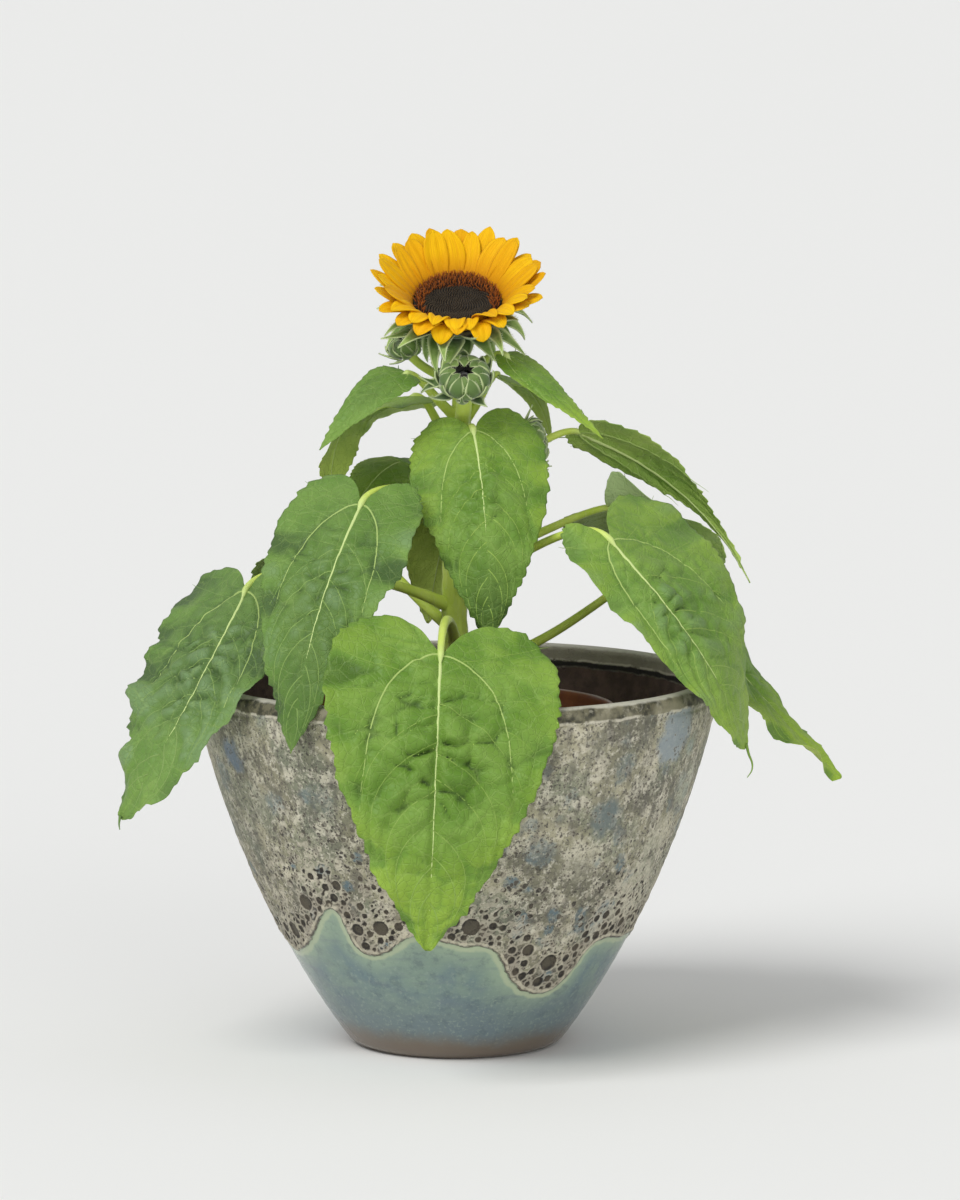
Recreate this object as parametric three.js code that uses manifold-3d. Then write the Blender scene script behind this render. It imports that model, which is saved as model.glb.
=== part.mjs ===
// A sunflower in flower, rooted in a plastic nursery pot that stands inside a glazed stoneware planter.
// Millimetres, +Z up. The origin is the centre of the planter's flat underside, and the flower faces -Y.
import * as THREE from "three";
import { mergeVertices } from "three/addons/utils/BufferGeometryUtils.js";
import Module from "manifold-3d";

// Planter: a deep bowl whose wall curves out from a small foot to a collared rim.
const PLANTER_HEIGHT = 213;
const PLANTER_WALL = 10;
const PLANTER_FLOOR = 14;
const FOOT_RADIUS = 55;
const BODY_CURVE = { from: [62, 4], lower: [106, 62], upper: [137, 142], to: [149, 200] };
const LIP_RADIUS = 150;
const LIP_INSIDE = 139;
const LIP_HEIGHT = 10;
const PLANTER_SIDES = 34;

// Nursery pot and its soil.
const POT_RIM_Z = 195;
const POT_FOOT_RADIUS = 56;
const POT_RIM_RADIUS = 91;
const POT_WALL = 2;
const POT_RIM_BAND = 12;
const SOIL_TOP = 178;
const POT_SIDES = 24;

// Clear space between two solids that touch on the real plant.
const CLEAR = 0.3;

// Main stem, from under the soil's surface to the back of the flower head.
const STEM_LINE = [
  [2, 6, SOIL_TOP + 2 * CLEAR],
  [2, 6, 196],
  [-1, 5, 250],
  [1, 8, 320],
  [3, 8, 372],
  [1, 3, 403],
  [1, -3.6, 413.4],
];
const STEM_FOOT_RADIUS = 7.5;
const STEM_TOP_RADIUS = 4.5;
const STEM_SIDES = 12;
const STEM_STEPS = 16;

// Flower head. The disc's centre, and the tilt of its face from straight up towards -Y.
const HEAD_CENTRE = [1, -12, 428];
const HEAD_TILT = 30;
const DISC_RADIUS = 25;
const DISC_DEPTH = 4;
const RECEPTACLE_DEPTH = 12;
const HEAD_SIDES = 24;

// Straps: petals and bracts. Each leaves its base at the root angle above the horizontal and bends to the tip
// angle.
const RAY_COUNT = 21;
const RAY = { length: 31, width: 16, thickness: 1, root: 42, tip: 34, steps: 5 };
const FRONT_RAY = { length: 24, root: 95, tip: -60 };
const HEAD_BRACTS = 14;
const BRACT = { width: 9, thickness: 1.2, steps: 3 };
const SPREADING = { length: 28, root: 20, tip: -5 };
const HANGING = { length: 18, root: -15, tip: -75 };

// Leaves. base is where the blade meets its petiole and tip is its point. bow is how far the midrib bulges
// from the straight line between them and face is the way the upper side looks. halves are the widths of the
// two halves and folds the degrees by which each lifts about the midrib. node is the height at which the
// petiole leaves the stem and rise how steeply it starts. tail draws the outline in towards a slender tip and
// lobe is how far the two lobes at the base reach back, as a share of a full-grown leaf's.
const LEAVES = {
  front: {
    base: [-8, -135, 243], tip: [-15, -166, 82], bow: [1, -17, 16], face: [0.1, -1, 0.2],
    halves: [64, 68], folds: [-2, -3], tail: 0.1, lobe: 1, node: 224, rise: 34,
  },
  front_upper: {
    base: [10, -33, 357], tip: [18, -84, 243], bow: [3, -13, 5], face: [0, -1, 0.2],
    halves: [42, 42], folds: [-20, -22], tail: 0.1, lobe: 1, node: 332, rise: 10,
  },
  left_front: {
    base: [-53, -66, 319], tip: [-92, -129, 187], bow: [-5, -16, 6], face: [0.1, 0, 1],
    halves: [46, 38], folds: [-8, -10], tail: 0.1, lobe: 1, node: 312, rise: 10,
  },
  left: {
    base: [-119, -45, 267], tip: [-188, -92, 144], bow: [0, -20, -2], face: [-0.5, -0.7, 0.5],
    halves: [56, 40], folds: [-10, -4], tail: -0.1, lobe: 1, node: 250, rise: 24,
  },
  right_front: {
    base: [87, -72, 299], tip: [164, -61, 179], bow: [14, -20, -4], face: [0.4, -0.7, 0.6],
    halves: [28, 70], folds: [-11, -14], tail: -0.1, lobe: 1, node: 262, rise: 16,
  },
  right: {
    base: [129, 23, 269], tip: [222, 9, 152], bow: [-16, 1, 8], face: [0.4, -0.4, 0.8],
    halves: [51, 42], folds: [14, -14], tail: 0.1, lobe: 1, node: 222, rise: -16,
  },
  right_upper: {
    base: [71, 21, 350], tip: [171, 65, 258], bow: [10, 5, 8], face: [0.3, 0.65, 0.65],
    halves: [27, 14], folds: [-4, -14], tail: 0.85, lobe: 0.3, node: 318, rise: 10,
  },
  top_right: {
    base: [29, -22, 398], tip: [83, -59, 355], bow: [0, -5, 1], face: [0.3, -0.6, 0.75],
    halves: [12, 18], folds: [-10, -10], tail: 0.35, lobe: 0.4, node: 382, rise: 8,
  },
  top_left: {
    base: [-28, -20, 388], tip: [-77, -44, 347], bow: [5, -2, 11], face: [-0.3, -0.6, 0.7],
    halves: [15, 15], folds: [-1, -6], tail: 0.25, lobe: 0.3, node: 358, rise: 10,
  },
  left_upper: {
    base: [-24, 22, 371], tip: [-72, 28, 314], bow: [-14, 0, 14], face: [-0.1, 0.1, 1],
    halves: [38, 32], folds: [-14, -11], tail: 0.1, lobe: 1, node: 338, rise: 14,
  },
  left_back: {
    base: [-16, 34, 330], tip: [-64, 92, 291], bow: [0, 4, 15], face: [-0.4, 0.8, 0.4],
    halves: [36, 30], folds: [-10, -14], tail: 0.1, lobe: 1, node: 305, rise: 8,
  },
  back: {
    base: [0, 48, 300], tip: [-17, 94, 230], bow: [0, 14, 12], face: [0, 0.9, 0.5],
    halves: [30, 30], folds: [-10, -10], tail: 0.1, lobe: 1, node: 280, rise: 8,
  },
  right_bud: {
    base: [24, 16, 384], tip: [55, 36, 343], bow: [5, 8, 7], face: [0.6, 0.4, 0.7],
    halves: [18, 18], folds: [-10, -6], tail: 0.1, lobe: 0.5, node: 356, rise: 10,
  },
  right_back: {
    base: [92, 44, 304], tip: [138, 124, 222], bow: [8, 0, 16], face: [0.3, 0.6, 0.8],
    halves: [50, 42], folds: [-12, -10], tail: 0.1, lobe: 1, node: 274, rise: 8,
  },
  left_hidden: {
    base: [-66, 62, 286], tip: [-112, 128, 190], bow: [-8, 10, 16], face: [-0.3, 0.5, 0.8],
    halves: [40, 40], folds: [-12, -10], tail: 0.1, lobe: 1, node: 238, rise: 14,
  },
};

// Blades and petioles. The thickness is a share of the blade's length, and a stalk's curve runs on for a share
// of its length in the way it leaves the stem and in the way it arrives.
const LEAF_THICKNESS_SHARE = 0.012;
const PETIOLE_ROOT_RADIUS = 3.4;
const PETIOLE_TIP_RADIUS = 2.2;
const STALK_HANDLE = 0.35;
const ARRIVAL_SHARE = 0.6;
const PETIOLE_STEPS = 8;
const PETIOLE_SIDES = 7;
const BLADE_ACROSS = 4;
const BLADE_ALONG = 11;

// Half outline of a leaf in leaf units: x along the midrib from 0 at the sinus to 1 at the tip, y across, 1
// at the widest. The first curve is the basal lobe and the second runs from the widest place to the tip.
const LOBE_SHARE = 0.42;
const LOBE = [[0, 0.03], [-0.21, 0.22], [-0.22, 1], [0.15, 1]];
const FLANK = [[0.15, 1], [0.4, 1], [0.85, 0.5], [1, 0.02]];

// Buds: centre, the way the bud points, radius, the stalk's radius and the height where it leaves the stem,
// and the length of a small leaf that hangs on the bud's left side.
const BUDS = {
  front: { centre: [5, -37, 384], axis: [0, -0.7, 0.7], radius: 15, stalk: 4.5, node: 350, leaflet: 18 },
  right: { centre: [44, -4, 347], axis: [0.9, -0.1, 0.2], radius: 12, stalk: 2.5, node: 338, leaflet: 0 },
  left: { centre: [-28, -3, 402], axis: [-0.4, -0.2, 0.8], radius: 10, stalk: 2.5, node: 378, leaflet: 0 },
};
const BUD_RISE = 6;
const BUD_BRACTS = 8;
const BUD_DEPTH = 0.65;
const BUD_BRACT = { length: 1.45, width: 0.75, root: 20, tip: 145 };
const LEAFLET = { root: -20, tip: -60 };
const BUD_SIDES = 10;
const BUD_PROFILE = [
  [0, -BUD_DEPTH],
  [0.42, -BUD_DEPTH],
  [0.85, -0.32],
  [0.95, 0.08],
  [0.75, 0.4],
  [0.45, 0.5],
  [0, 0.38],
];

const wasm = await Module();
wasm.setup();

const vector = (p) => new THREE.Vector3(...p);
const radians = THREE.MathUtils.degToRad;

/** A closed three.js geometry as a solid for cutting and joining. */
function solidOf(geometry) {
  const bare = new THREE.BufferGeometry();
  bare.setAttribute("position", geometry.getAttribute("position"));
  bare.setIndex(geometry.index);
  const merged = mergeVertices(bare, 1e-3);
  return new wasm.Manifold(
    new wasm.Mesh({
      numProp: 3,
      vertProperties: merged.attributes.position.array,
      triVerts: new Uint32Array(merged.index.array),
    }),
  );
}

/** The largest body of a solid that a cut left in pieces. */
function largest(solid) {
  return solid.decompose().sort((a, b) => b.volume() - a.volume())[0];
}

/** The geometry of a solid. */
function geometryOf(solid) {
  const mesh = solid.getMesh();
  const geometry = new THREE.BufferGeometry();
  geometry.setAttribute("position", new THREE.BufferAttribute(mesh.vertProperties, mesh.numProp));
  geometry.setIndex(new THREE.BufferAttribute(mesh.triVerts, 1));
  return geometry;
}

/** Moves each vertex of a geometry to place(x, y, z). */
function bend(geometry, place) {
  const position = geometry.getAttribute("position");
  for (let i = 0; i < position.count; i++) {
    const p = place(position.getX(i), position.getY(i), position.getZ(i));
    position.setXYZ(i, p.x, p.y, p.z);
  }
  return geometry;
}

/** A turned piece about +Z, from a profile of [radius, height] points. */
function turned(profile, sides) {
  const points = profile.map(([r, z]) => new THREE.Vector2(r, z));
  return new THREE.LatheGeometry(points, sides).rotateX(Math.PI / 2);
}

/** A tapering limb: a cylinder bent along a curve. radiusAt takes the share of its length. */
function limb(curve, radiusAt, steps, sides) {
  const frames = curve.computeFrenetFrames(steps);
  return bend(new THREE.CylinderGeometry(1, 1, 1, sides, steps), (x, y, z) => {
    const k = Math.round((y + 0.5) * steps);
    const share = k / steps;
    const radius = radiusAt(share);
    return curve
      .getPointAt(share)
      .addScaledVector(frames.normals[k], x * radius)
      .addScaledVector(frames.binormals[k], -z * radius);
  });
}

/** A point of a cubic curve with control points [x, y] at parameter t. */
function cubic(points, t) {
  const [a, b, c, d] = points.map(([x, y]) => new THREE.Vector2(x, y));
  return new THREE.CubicBezierCurve(a, b, c, d).getPoint(t);
}

/** The half outline of a leaf at share s of its margin, from the sinus to the tip, in leaf units. */
function margin(s, { tail, lobe }) {
  if (s < LOBE_SHARE) {
    const [sinus, swell, crown, widest] = LOBE;
    return cubic([sinus, [swell[0] * lobe, swell[1]], [crown[0] * lobe, crown[1]], widest], s / LOBE_SHARE);
  }
  const [start, shoulder, waist, end] = FLANK;
  const drawn = [waist[0] - 0.25 * tail, waist[1] - 0.6 * tail];
  return cubic([start, shoulder, drawn, end], (s - LOBE_SHARE) / (1 - LOBE_SHARE));
}

/** A leaf's midrib as a curve. */
function midribOf({ base, tip, bow }) {
  const middle = vector(base).add(vector(tip)).multiplyScalar(0.5);
  return new THREE.QuadraticBezierCurve3(vector(base), middle.addScaledVector(vector(bow), 2), vector(tip));
}

/** A leaf blade: a thin slab whose rows run from the midrib out to the margin, folded about the midrib. */
function blade(leaf, across, along) {
  const midrib = midribOf(leaf);
  const length = midrib.getLength();
  const thickness = length * LEAF_THICKNESS_SHARE;
  return bend(new THREE.BoxGeometry(1, 1, 1, across, along, 1), (x, y, z) => {
    const s = y + 0.5;
    const t = 2 * x;
    const edge = margin(s, leaf);
    const onRib = Math.pow(s, 1.7);
    const reach = (onRib + (edge.x - onRib) * Math.abs(t)) * length;
    const half = t > 0 ? 0 : 1;
    const side = t * edge.y * leaf.halves[half];
    const fold = radians(leaf.folds[half]);
    const share = THREE.MathUtils.clamp(reach / length, 0, 1);
    const tangent = midrib.getTangentAt(share);
    const normal = vector(leaf.face).addScaledVector(tangent, -vector(leaf.face).dot(tangent)).normalize();
    const sideways = new THREE.Vector3().crossVectors(tangent, normal);
    return midrib
      .getPointAt(share)
      .addScaledVector(tangent, reach - share * length)
      .addScaledVector(sideways, side * Math.cos(fold))
      .addScaledVector(normal, Math.abs(side) * Math.sin(fold) + z * thickness);
  });
}

/**
 * A strap-shaped blade in the XZ plane: a petal or a bract. It leaves [radius, height] outwards at one angle
 * above the horizontal and bends evenly to another, in degrees, and narrows to a point.
 */
function strap(start, { length, width, thickness, root, tip, steps }) {
  const from = radians(root);
  const turn = radians(tip) - from;
  return bend(new THREE.BoxGeometry(1, 1, 1, 1, steps, 1), (x, y, z) => {
    const s = y + 0.5;
    const angle = from + turn * s;
    const out = (length * (Math.sin(angle) - Math.sin(from))) / turn;
    const up = (length * (Math.cos(from) - Math.cos(angle))) / turn;
    const narrowing = s < 0.5 ? 0.5 : 0.96;
    const half = (width / 2) * (1 - narrowing * Math.pow(Math.abs(2 * s - 1), 2.8));
    const lift = z * thickness;
    return new THREE.Vector3(
      start[0] + out - lift * Math.sin(angle),
      -2 * x * half,
      start[1] + up + lift * Math.cos(angle),
    );
  });
}

const stemLine = new THREE.CatmullRomCurve3(STEM_LINE.map(vector));
const stemRadius = (share) => THREE.MathUtils.lerp(STEM_FOOT_RADIUS, STEM_TOP_RADIUS, share);

/** The point of the stem's middle line at a height. */
function stemAt(height) {
  const tops = stemLine.getSpacedPoints(200);
  return tops.find((p) => p.z >= height) ?? tops.at(-1);
}

/** The curve of a petiole or stalk from the stem to where it ends, arriving along a direction. */
function stalkCurve(node, end, arrival, rise) {
  const start = stemAt(node);
  const out = end.clone().sub(start);
  const handle = out.length() * STALK_HANDLE;
  const leave = start.clone().add(new THREE.Vector3(out.x, out.y, 0).setLength(handle));
  leave.z += rise;
  const arrive = end.clone().addScaledVector(arrival, -ARRIVAL_SHARE * handle);
  return new THREE.CubicBezierCurve3(start, leave, arrive, end);
}

const colours = {
  planter: 0x8d8a80,
  nurseryPot: 0x7a3a22,
  soil: 0x35271d,
  stem: 0x8fae4a,
  leaf: 0x5f8c3f,
  rays: 0xf2b10d,
  disc: 0x3a2a1c,
  bract: 0x5d8038,
};

const object = new THREE.Group();

/** Adds one named piece to the object. */
function add(name, geometry, colour, roughness = 0.7) {
  const finish = new THREE.MeshStandardMaterial({ color: colour, roughness, metalness: 0 });
  const piece = new THREE.Mesh(geometry, finish);
  piece.name = name;
  object.add(piece);
}

/** The planter's profile, from the middle of its underside over the rim to the middle of its floor. */
function planterProfile() {
  const { from, lower, upper, to } = BODY_CURVE;
  const body = Array.from({ length: 9 }, (_, i) => cubic([from, lower, upper, to], i / 8));
  const outside = body.map((p) => [p.x, p.y]);
  const inside = body
    .filter((p) => p.y > 2 * PLANTER_FLOOR)
    .reverse()
    .map((p) => [p.x - PLANTER_WALL, p.y]);
  const lipFoot = PLANTER_HEIGHT - LIP_HEIGHT;
  return [
    [0, 0],
    [FOOT_RADIUS, 0],
    ...outside,
    [LIP_RADIUS - 1.5, lipFoot],
    [LIP_RADIUS, lipFoot + 3],
    [LIP_RADIUS - 0.5, PLANTER_HEIGHT - 2],
    [LIP_RADIUS - 4, PLANTER_HEIGHT],
    [LIP_INSIDE + 3, PLANTER_HEIGHT - 0.5],
    [LIP_INSIDE, PLANTER_HEIGHT - 3],
    [LIP_INSIDE, lipFoot],
    ...inside,
    [POT_FOOT_RADIUS + 3, PLANTER_FLOOR],
    [0, PLANTER_FLOOR],
  ];
}

/** The radius of the nursery pot's outside at a height. */
function potRadius(z) {
  const foot = PLANTER_FLOOR + CLEAR;
  return THREE.MathUtils.mapLinear(z, foot, POT_RIM_Z, POT_FOOT_RADIUS, POT_RIM_RADIUS - POT_WALL);
}

function nurseryPotProfile() {
  const foot = PLANTER_FLOOR + CLEAR;
  const band = POT_RIM_Z - POT_RIM_BAND;
  return [
    [0, foot],
    [POT_FOOT_RADIUS, foot],
    [potRadius(band), band],
    [POT_RIM_RADIUS - 1, band],
    [POT_RIM_RADIUS, POT_RIM_Z],
    [POT_RIM_RADIUS - POT_WALL, POT_RIM_Z],
    [potRadius(band) - POT_WALL, band],
    [POT_FOOT_RADIUS - POT_WALL, foot + POT_WALL],
    [0, foot + POT_WALL],
  ];
}

function soilProfile() {
  const foot = PLANTER_FLOOR + POT_WALL + 2 * CLEAR;
  const inside = (z) => potRadius(z) - POT_WALL - 2 * CLEAR;
  return [
    [0, foot],
    [inside(foot), foot],
    [inside(SOIL_TOP - 4), SOIL_TOP - 4],
    [inside(SOIL_TOP) * 0.8, SOIL_TOP - 1],
    [0, SOIL_TOP],
  ];
}

add("planter", turned(planterProfile(), PLANTER_SIDES), colours.planter, 0.45);
add("nursery_pot", turned(nurseryPotProfile(), POT_SIDES), colours.nurseryPot, 0.6);
add("potting_soil", turned(soilProfile(), POT_SIDES), colours.soil, 0.95);
add("main_stem", limb(stemLine, stemRadius, STEM_STEPS, STEM_SIDES), colours.stem);

const stemSleeve = solidOf(limb(stemLine, (share) => stemRadius(share) + CLEAR, STEM_STEPS, STEM_SIDES));

for (const [name, leaf] of Object.entries(LEAVES)) {
  const curve = stalkCurve(leaf.node, vector(leaf.base), midribOf(leaf).getTangent(0), leaf.rise);
  const radiusAt = (share) => THREE.MathUtils.lerp(PETIOLE_ROOT_RADIUS, PETIOLE_TIP_RADIUS, share);
  const petiole = solidOf(limb(curve, radiusAt, PETIOLE_STEPS, PETIOLE_SIDES));
  const sleeve = solidOf(limb(curve, (share) => radiusAt(share) + CLEAR, PETIOLE_STEPS, PETIOLE_SIDES));
  const slab = solidOf(blade(leaf, BLADE_ACROSS, BLADE_ALONG));
  add("petiole_" + name, geometryOf(largest(petiole.subtract(stemSleeve))), colours.stem);
  add("leaf_" + name, geometryOf(largest(slab.subtract(sleeve))), colours.leaf);
}

/** A ring of blades fused to a body. Each comes from shape(i) and is turned by its share of a whole turn. */
function ringed(body, count, shape) {
  const turnOf = (i) => (2 * Math.PI * i) / count;
  const blades = Array.from({ length: count }, (_, i) => solidOf(shape(i).rotateZ(turnOf(i))));
  return blades.reduce((all, one) => all.add(one), solidOf(body));
}

const headAxis = new THREE.Vector3(0, 0, 1).applyAxisAngle(new THREE.Vector3(1, 0, 0), radians(HEAD_TILT));

/** Sets a geometry made about +Z at a place, with its +Z turned to an axis. */
function setAt(geometry, centre, axis) {
  const turn = new THREE.Quaternion().setFromUnitVectors(new THREE.Vector3(0, 0, 1), axis);
  return geometry.applyQuaternion(turn).translate(...centre);
}

/** A ray floret. Those at the front, towards -Y, stand up more, curl over and are shorter. */
function ray(i) {
  const front = Math.pow(Math.max(0, -Math.sin((2 * Math.PI * i) / RAY_COUNT)), 1.5);
  const towardsFront = (key) => THREE.MathUtils.lerp(RAY[key], FRONT_RAY[key], front);
  const bearing = { length: towardsFront("length"), root: towardsFront("root"), tip: towardsFront("tip") };
  return strap([DISC_RADIUS + 1, -DISC_DEPTH / 2], { ...RAY, ...bearing });
}

/** A bract under the head: every other one spreads out flat and the rest hang. */
function headBract(i) {
  return strap([DISC_RADIUS - 4, -2 * DISC_DEPTH], { ...BRACT, ...(i % 2 ? SPREADING : HANGING) });
}

const collar = turned(
  [
    [DISC_RADIUS + CLEAR, -DISC_DEPTH],
    [DISC_RADIUS + 2.5, -DISC_DEPTH],
    [DISC_RADIUS + 2, -0.5],
    [DISC_RADIUS + CLEAR, -0.5],
    [DISC_RADIUS + CLEAR, -DISC_DEPTH],
  ],
  HEAD_SIDES,
);
const receptacleTop = -DISC_DEPTH - CLEAR;
const receptacleFoot = receptacleTop - RECEPTACLE_DEPTH;
const receptacle = turned(
  [
    [0, receptacleFoot],
    [6, receptacleFoot],
    [16, receptacleFoot + 3],
    [25, receptacleTop - 4],
    [27, receptacleTop],
    [0, receptacleTop],
  ],
  HEAD_SIDES,
);
const disc = turned(
  [
    [0, -DISC_DEPTH],
    [DISC_RADIUS, -DISC_DEPTH],
    [DISC_RADIUS, 1],
    [DISC_RADIUS - 2, 4],
    [DISC_RADIUS - 7, 3.5],
    [DISC_RADIUS - 10, 1.5],
    [0, 2.5],
  ],
  HEAD_SIDES,
);
const involucre = geometryOf(ringed(receptacle, HEAD_BRACTS, headBract));
const rays = geometryOf(ringed(collar, RAY_COUNT, ray));
add("flower_involucre", setAt(involucre, HEAD_CENTRE, headAxis), colours.bract);
add("flower_rays", setAt(rays, HEAD_CENTRE, headAxis), colours.rays);
add("flower_disc", setAt(disc, HEAD_CENTRE, headAxis), colours.disc, 0.95);

for (const [name, { centre, axis, radius, stalk, node, leaflet }] of Object.entries(BUDS)) {
  const way = vector(axis).normalize();
  const foot = vector(centre).addScaledVector(way, -BUD_DEPTH * radius - CLEAR);
  const curve = stalkCurve(node, foot, way, BUD_RISE);
  const stem = solidOf(limb(curve, () => stalk, PETIOLE_STEPS, PETIOLE_SIDES));
  const globe = turned(
    BUD_PROFILE.map(([r, z]) => [r * radius, z * radius]),
    BUD_SIDES,
  );
  const wrapping = { ...BUD_BRACT, length: BUD_BRACT.length * radius, width: BUD_BRACT.width * radius };
  const bract = () => strap([0.55 * radius, -0.56 * radius], { ...BRACT, ...wrapping });
  let bud = ringed(globe, BUD_BRACTS, bract);
  if (leaflet) {
    const hanging = strap([0.8 * radius, -0.1 * radius], { ...BRACT, ...LEAFLET, length: leaflet });
    bud = bud.add(solidOf(hanging.rotateZ(Math.PI)));
  }
  add(name + "_bud_stalk", geometryOf(largest(stem.subtract(stemSleeve))), colours.stem);
  add(name + "_bud", setAt(geometryOf(bud), centre, way), colours.bract);
}

export default object;
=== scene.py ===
# %% [markdown]
# A sunflower in a glazed stoneware planter. The plant's trunk is one green stem with fifteen heart-shaped
# leaves, three buds and one open flower, and it grows in a plastic nursery pot that stands inside the planter.
# The solids of the part give every piece its place and reach. Here each of them is replaced by a finer
# surface: leaves with veins and toothed edges, petals with pleats, a disc of florets and a cratered glaze.

# %% The frame
import math
from collections import namedtuple

import bpy
import numpy as np
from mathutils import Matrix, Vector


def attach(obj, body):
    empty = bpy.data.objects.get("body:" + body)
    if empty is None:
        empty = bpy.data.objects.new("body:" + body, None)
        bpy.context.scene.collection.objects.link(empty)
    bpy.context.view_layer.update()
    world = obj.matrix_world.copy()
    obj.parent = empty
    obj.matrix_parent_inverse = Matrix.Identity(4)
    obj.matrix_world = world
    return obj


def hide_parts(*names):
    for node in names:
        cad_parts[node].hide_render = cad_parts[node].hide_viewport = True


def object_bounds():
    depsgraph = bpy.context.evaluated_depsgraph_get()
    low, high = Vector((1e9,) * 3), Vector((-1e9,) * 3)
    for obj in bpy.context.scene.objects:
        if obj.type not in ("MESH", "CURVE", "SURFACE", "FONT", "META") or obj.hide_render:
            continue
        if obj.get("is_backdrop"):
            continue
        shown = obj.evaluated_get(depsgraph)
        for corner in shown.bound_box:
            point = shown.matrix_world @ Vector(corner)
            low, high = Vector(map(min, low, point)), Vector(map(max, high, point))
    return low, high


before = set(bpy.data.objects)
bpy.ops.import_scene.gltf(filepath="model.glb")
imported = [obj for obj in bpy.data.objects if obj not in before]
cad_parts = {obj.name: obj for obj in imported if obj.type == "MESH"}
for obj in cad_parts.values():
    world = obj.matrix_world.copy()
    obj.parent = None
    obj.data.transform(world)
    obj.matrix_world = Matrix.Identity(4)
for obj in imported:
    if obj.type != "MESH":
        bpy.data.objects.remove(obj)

cad_low, cad_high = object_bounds()
print("the part is", [round(1000 * side) for side in cad_high - cad_low], "mm", len(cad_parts), "nodes")

# %% [markdown]
# Blender works in metres and the sizes below are in millimetres, so every mesh is scaled once, when it is
# made. Colours are written as sRGB hex codes and turned to the linear values that shaders need. One function
# adds a node with its settings and links. A real surface gets its colour in coats: a ground, and on it glaze,
# dust or stain that covers a part of it. The materials are made the same way, and what a coat covers is a
# product of shares, such as a smooth step of a noise.

# %% Units, colours and nodes
MM = 0.001


def linear(code):
    """An sRGB hex colour as linear red, green and blue, with an alpha of 1."""
    share = np.array([int(code[i : i + 2], 16) for i in (1, 3, 5)]) / 255
    light = np.where(share <= 0.04045, share / 12.92, ((share + 0.055) / 1.055) ** 2.4)
    return (*light.tolist(), 1.0)


def add(tree, kind, inputs=None, **settings):
    """Adds a shader node and returns its outputs. settings are its properties, inputs its sockets' values or
    links."""
    made = tree.nodes.new("ShaderNode" + kind)
    for name, value in settings.items():
        setattr(made, name, value)
    for name, value in (inputs or {}).items():
        if isinstance(value, bpy.types.NodeSocket):
            tree.links.new(value, made.inputs[name])
        else:
            made.inputs[name].default_value = linear(value) if isinstance(value, str) else value
    return made.outputs


def share_of(tree, *factors):
    """A product of factors. A factor is a socket, a number, or a smooth step of a measure: (measure, low, high)
    rises from 0 at low to 1 at high, and (measure, low, high, first, last) goes from first to last."""
    product = None
    for factor in factors:
        if isinstance(factor, tuple):
            step = dict(enumerate((*factor, 0.0, 1.0)[:5]))
            factor = add(tree, "MapRange", step, interpolation_type="SMOOTHSTEP")[0]
        if product is not None:
            factor = add(tree, "Math", {0: product, 1: factor}, operation="MULTIPLY")[0]
        product = factor
    return product


def coated(tree, ground, *coats):
    """A ground colour under coats. A coat is its colour and the factors of the share that it covers."""
    for shade, *factors in coats:
        inputs = {0: share_of(tree, *factors), 6: ground, 7: shade}
        ground = add(tree, "Mix", inputs, data_type="RGBA")[2]
    return ground


def finish_of(name, roughness, ior=1.45, **constants):
    """A new material: its node tree and its principled shader, with constants set on the shader's sockets."""
    made = bpy.data.materials.new(name)
    made.use_nodes = True
    tree = made.node_tree
    tree.nodes.clear()
    add(tree, "BsdfPrincipled", {"Roughness": roughness, "IOR": ior})
    shader = tree.nodes[0]
    for socket, value in constants.items():
        shader.inputs[socket.replace("_", " ")].default_value = value
    add(tree, "OutputMaterial", {"Surface": shader.outputs[0]})
    return made, tree, shader


def dressed(tree, shader, colour, roughness=None, height=None, depth=0.0005):
    """Links a colour, and where they are given a roughness and a bump of a real depth in metres."""
    tree.links.new(colour, shader.inputs["Base Color"])
    if roughness is not None:
        tree.links.new(roughness, shader.inputs["Roughness"])
    if height is not None:
        bump = add(tree, "Bump", {"Height": height, "Distance": depth, "Strength": 1})
        tree.links.new(bump[0], shader.inputs["Normal"])


print("helpers are ready")

# %% [markdown]
# The picture was taken from almost straight in front, a little above the flower, from far away: the rim of the
# planter shows as a thin ellipse. A long lens from 3.9 metres gives the same flat perspective.

# %% Camera
CAMERA_PLACE = (0.01375, -3.9, 0.760)
CAMERA_PITCH = 7.365
FOCAL_LENGTH = 206.3

lens = bpy.data.cameras.new("camera")
lens.lens = FOCAL_LENGTH
lens.sensor_width = 36
camera = bpy.data.objects.new("camera", lens)
camera.location = CAMERA_PLACE
camera.rotation_euler = (math.radians(90 - CAMERA_PITCH), 0, 0)
bpy.context.scene.collection.objects.link(camera)
bpy.context.scene.camera = camera
print("camera", CAMERA_PLACE, "lens", FOCAL_LENGTH)

# %% [markdown]
# Soft studio light: one broad light high on the left gives the leaves their form, a weak one from the front
# keeps the shadows open, and a pale sky fills the rest. Sun lamps with a wide angle light the whole floor
# evenly. The plain view curve keeps the petals' strong yellow, which the film-like default would turn to cream.

# %% Floor and light
SUNS = {
    "key_light": {"place": (-1.5, -1.7, 2.5), "strength": 1.9, "width": 30},
    "front_light": {"place": (0.9, -2.6, 0.3), "strength": 1.25, "width": 60},
}
SKY_STRENGTH = 0.5
FLOOR_HALF = 20.0

bpy.context.scene.view_settings.view_transform = "Standard"
for name, sun in SUNS.items():
    light = bpy.data.lights.new(name, "SUN")
    light.energy = sun["strength"]
    light.angle = math.radians(sun["width"])
    holder = bpy.data.objects.new(name, light)
    east, north, height = holder.location = sun["place"]
    holder.rotation_euler = (math.atan2(math.hypot(east, north), height), 0, math.atan2(east, -north))
    bpy.context.scene.collection.objects.link(holder)

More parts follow.
